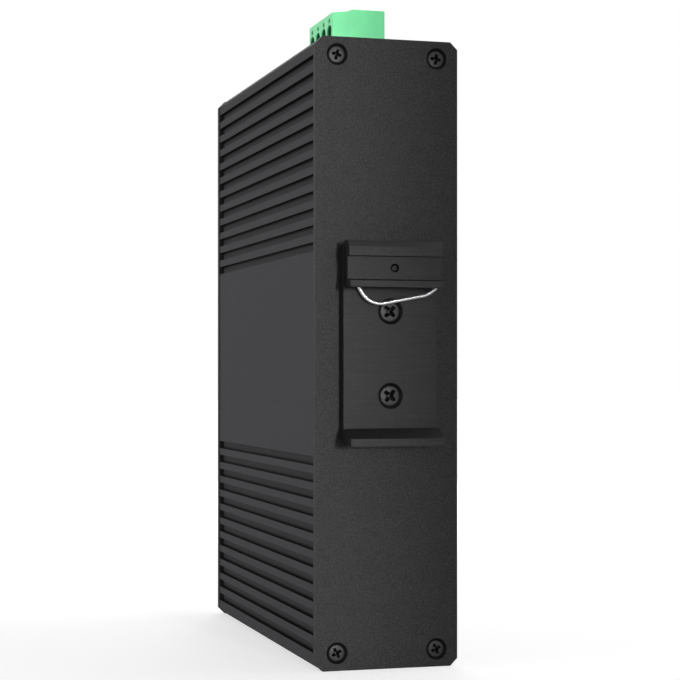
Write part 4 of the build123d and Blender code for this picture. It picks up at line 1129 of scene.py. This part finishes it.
@dataclass
class RailClip:
    """Extruded clip with its two screws, its pin and its wire spring."""

    screw_zs: tuple[float, float] = (11.1, -8.9)
    screw_turns: tuple[float, float] = (45.0, 50.0)
    head_y: float = -0.45
    wire: WireBow = field(default_factory=WireBow)
    screw: Screw = Screw(
        Head.SUNK, 2.6, 1.5, 8.0, Recess(1.72, 0.5, 1.4), thread_depth=0.16
    )

    def build(self, pieces: Pieces) -> None:
        """Softens the clip and sets its screws, pin and wire."""
        pieces.soften(Finishes.CLIP, 0.09, "din_clip")
        pieces.soften(Finishes.CLIP, 0.12, "clip_pin")
        pieces.soften(Finishes.STEEL, 0.12, "clip_nuts")
        surface = Surface()
        for z, turn in zip(self.screw_zs, self.screw_turns):
            surface.grid(self.screw.grid((0.0, self.head_y, z), turn, *REAR))
        pieces.place(surface.piece("clip_screws_cut"), Finishes.BLACK_SCREW, "clip_screws")
        pieces.place(self.wire.surface().piece("clip_wire"), Finishes.WIRE, "clip_spring")


@dataclass
class PowerTerminal:
    """Pluggable terminal and the header that it sits in."""

    poles: int = 4

    def build(self, pieces: Pieces) -> None:
        """Softens the plastic and dresses the metal inside."""
        pieces.soften(Finishes.PLUG, 0.18, "terminal_plug")
        pieces.soften(Finishes.PLUG, 0.15, "terminal_header")
        for number in range(1, self.poles + 1):
            pieces.soften(Finishes.STEEL, 0.06, f"clamp_screw_{number}")
            pieces.soften(Finishes.TIN, 0.06, f"clamp_cage_{number}")
        pieces.soften(Finishes.TIN, 0.06, "plug_contacts", "header_pins")


@dataclass
class EarthPoint:
    """Pan-head screw and washer on the top of the sleeve."""

    y: float = -62.45
    seat_z: float = 76.5
    turn: float = 30.0
    screw: Screw = Screw(
        Head.PAN, 2.8, 1.5, 6.0, Recess(1.5, 0.42, 1.2), head_height=2.0, thread_depth=0.16
    )

    def build(self, pieces: Pieces) -> None:
        """Sets the screw and softens the washer."""
        surface = Surface()
        surface.grid(self.screw.grid((0.0, self.y, self.seat_z), self.turn, *TOP))
        pieces.place(surface.piece("earth_screw_cut"), Finishes.STEEL, "earth_screw")
        pieces.soften(Finishes.STEEL, 0.1, "earth_washer")


@dataclass
class SocketPanel:
    """Socket blocks, contact wires, shields and lamps behind the front plate."""

    blocks: tuple[str, ...] = ("lower", "upper")

    def build(self, pieces: Pieces) -> None:
        """Softens the blocks, shields and lamps and dresses the contact wires."""
        for block in self.blocks:
            pieces.soften(Finishes.SOCKET, 0.14, f"port_block_{block}")
            pieces.soften(Finishes.SHIELD, 0.06, f"port_shield_{block}")
            pieces.soften(Finishes.GREEN_LAMP, 0.1, f"port_lamps_{block}")
            pieces.dress(Finishes.GOLD, f"port_contacts_{block}")
        pieces.soften(Finishes.CLEAR_LAMP, 0.05, "status_lamps")
        pieces.soften(Finishes.SOCKET, 0.15, "lamp_holder")


@dataclass
class Electronics:
    """Board and what stands on it, closed in by the sleeve."""

    def build(self, pieces: Pieces) -> None:
        """Dresses the board and its parts."""
        pieces.soften(Finishes.BOARD, 0.08, "main_board")
        pieces.dress(Finishes.FILM, "insulating_film")
        pieces.soften(Finishes.CHIP, 0.08, "switch_chip")
        pieces.dress(Finishes.PAD, "heat_pad")
        pieces.soften(Finishes.SINK, 0.12, "heat_sink")
        pieces.soften(Finishes.CHIP, 0.2, "magnetics")
        pieces.soften(Finishes.FERRITE, 0.2, "inductors")
        pieces.soften(Finishes.CAN, 0.15, "capacitors", "crystal")
        pieces.soften(Finishes.CHIP, 0.2, "fuse")


@dataclass(frozen=True)
class Lamp:
    """Soft rectangular lamp that faces the switch. Lengths in mm, power in W, spread in degrees."""

    name: str
    place: Point
    width: float
    height: float
    power: float
    spread: float = 180.0
    aim: Point = (0.0, -50.0, 0.0)

    def hang(self) -> None:
        """Hangs the lamp in its place, turned to the point that it faces."""
        data = bpy.data.lights.new(self.name, "AREA")
        data.shape = "RECTANGLE"
        data.size = self.width * MM
        data.size_y = self.height * MM
        data.energy = self.power
        data.spread = math.radians(self.spread)
        lamp = linked(self.name, data)
        lamp.location = Vector(self.place) * MM
        facing = Vector(self.aim) * MM - lamp.location
        lamp.rotation_euler = facing.to_track_quat("-Z", "Y").to_euler()


@dataclass
class Studio:
    """Pale floor, white surround, soft lamps and a camera near the photograph's."""

    camera_place: Point = (129.4, 378.3, -3.7)
    camera_turn: float = 165.14
    lens: float = 89.2
    sensor_width: float = 36.0
    shift: Span = (0.1, 0.05)
    clip_start: float = 5.0
    floor_z: float = -73.9
    floor_reach: float = 4000.0
    floor_shade: float = 0.45
    floor_mottle: Span = (0.99, 1.01)
    floor_mottle_size: float = 180.0
    floor_roughness: float = 0.9
    floor_specular: float = 0.1
    floor_white: Fade = (0.62, 1.0, 260.0, 900.0)
    ambient: Fade = (0.58, 0.1, 0.1, 0.8)
    lamps: tuple[Lamp, ...] = (
        Lamp("key_left", (560.0, 20.0, 60.0), 300.0, 300.0, 1.4),
        Lamp("fill_right", (-560.0, -20.0, 100.0), 400.0, 400.0, 1.2),
        Lamp("fill_front", (-120.0, -620.0, 200.0), 400.0, 400.0, 2.2),
        Lamp("top", (-220.0, -60.0, 560.0), 420.0, 420.0, 1.25),
        Lamp("rear_strip", (-50.0, 420.0, 30.0), 40.0, 240.0, 0.047, 14.0, (24.0, 0.0, 0.0)),
    )

    def build(self) -> None:
        """Sets the camera, the surround, the floor and the lamps."""
        self.set_camera()
        self.set_world()
        self.lay_floor()
        for lamp in self.lamps:
            lamp.hang()

    def set_camera(self) -> None:
        """Puts the camera near the photograph's, turned where that one was shifted."""
        data = bpy.data.cameras.new("photo_camera")
        data.lens = self.lens
        data.sensor_width = self.sensor_width
        data.shift_x, data.shift_y = self.shift
        data.clip_start = self.clip_start * MM
        camera = linked("photo_camera", data)
        camera.location = Vector(self.camera_place) * MM
        camera.rotation_euler = Euler((math.pi / 2, 0.0, math.radians(self.camera_turn)))
        bpy.context.scene.camera = camera

    def set_world(self) -> None:
        """White to the camera and in reflections, with a weaker ambient light, least from above.

        The ambient fade gives its strength from below and from above, and the heights of
        the direction at which each is reached.
        """
        world = bpy.data.worlds.new("surround")
        world.use_nodes = True
        tree = Tree(world.node_tree)
        through = tree.node("ShaderNodeLightPath").outputs["Is Transmission Ray"]
        direction = tree.node("ShaderNodeTexCoord").outputs["Generated"]
        ambient = tree.ranged(tree.split(direction)[2], *self.ambient)
        mix = tree.node("ShaderNodeMixShader")
        tree.feed(tree.maths("MAXIMUM", tree.seen(), through), mix.inputs["Fac"])
        for strength, end in ((ambient, mix.inputs[1]), (1.0, mix.inputs[2])):
            inputs = {"Color": WHITE, "Strength": strength}
            tree.feed(tree.fill(tree.node("ShaderNodeBackground"), inputs).outputs[0], end)
        output = tree.node("ShaderNodeOutputWorld")
        tree.feed(mix.outputs[0], output.inputs["Surface"])
        bpy.context.scene.world = world

    def lay_floor(self) -> None:
        """Lays a wide pale floor that is white to the camera and keeps the shadow.

        The white fade gives its glow near the switch and far off, and both distances.
        """
        reach = self.floor_reach * MM
        z = self.floor_z * MM
        corners = [(-reach, -reach, z), (reach, -reach, z), (reach, reach, z), (-reach, reach, z)]
        mesh = bpy.data.meshes.new("floor")
        mesh.from_pydata(corners, [], [(0, 1, 2, 3)])
        floor = linked("floor", mesh)
        sheet = Sheet("pale_floor")
        clouds = sheet.ranged(sheet.noise(self.floor_mottle_size), *self.floor_mottle)
        rise = sheet.ranged(sheet.length(sheet.place), *self.floor_white)
        inputs = {
            "Base Color": sheet.shaded((self.floor_shade,) * 3, clouds),
            "Roughness": self.floor_roughness,
            "Specular IOR Level": self.floor_specular,
            "Emission Color": WHITE,
            "Emission Strength": sheet.product(sheet.seen(), rise),
        }
        sheet.fill(sheet.shader, inputs)
        mesh.materials.append(sheet.material)


def main() -> None:
    """Loads the frame, dresses every sub-assembly and sets the studio."""
    logging.basicConfig(level=logging.INFO, format="%(name)s: %(message)s")
    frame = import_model()
    bpy.context.scene.view_settings.view_transform = "Standard"
    pieces = Pieces(frame)
    for assembly in (Case, RailClip, PowerTerminal, EarthPoint, SocketPanel, Electronics):
        LOG.info("building %s", assembly.__name__)
        assembly().build(pieces)
    Studio().build()


if __name__ == "__main__":
    main()
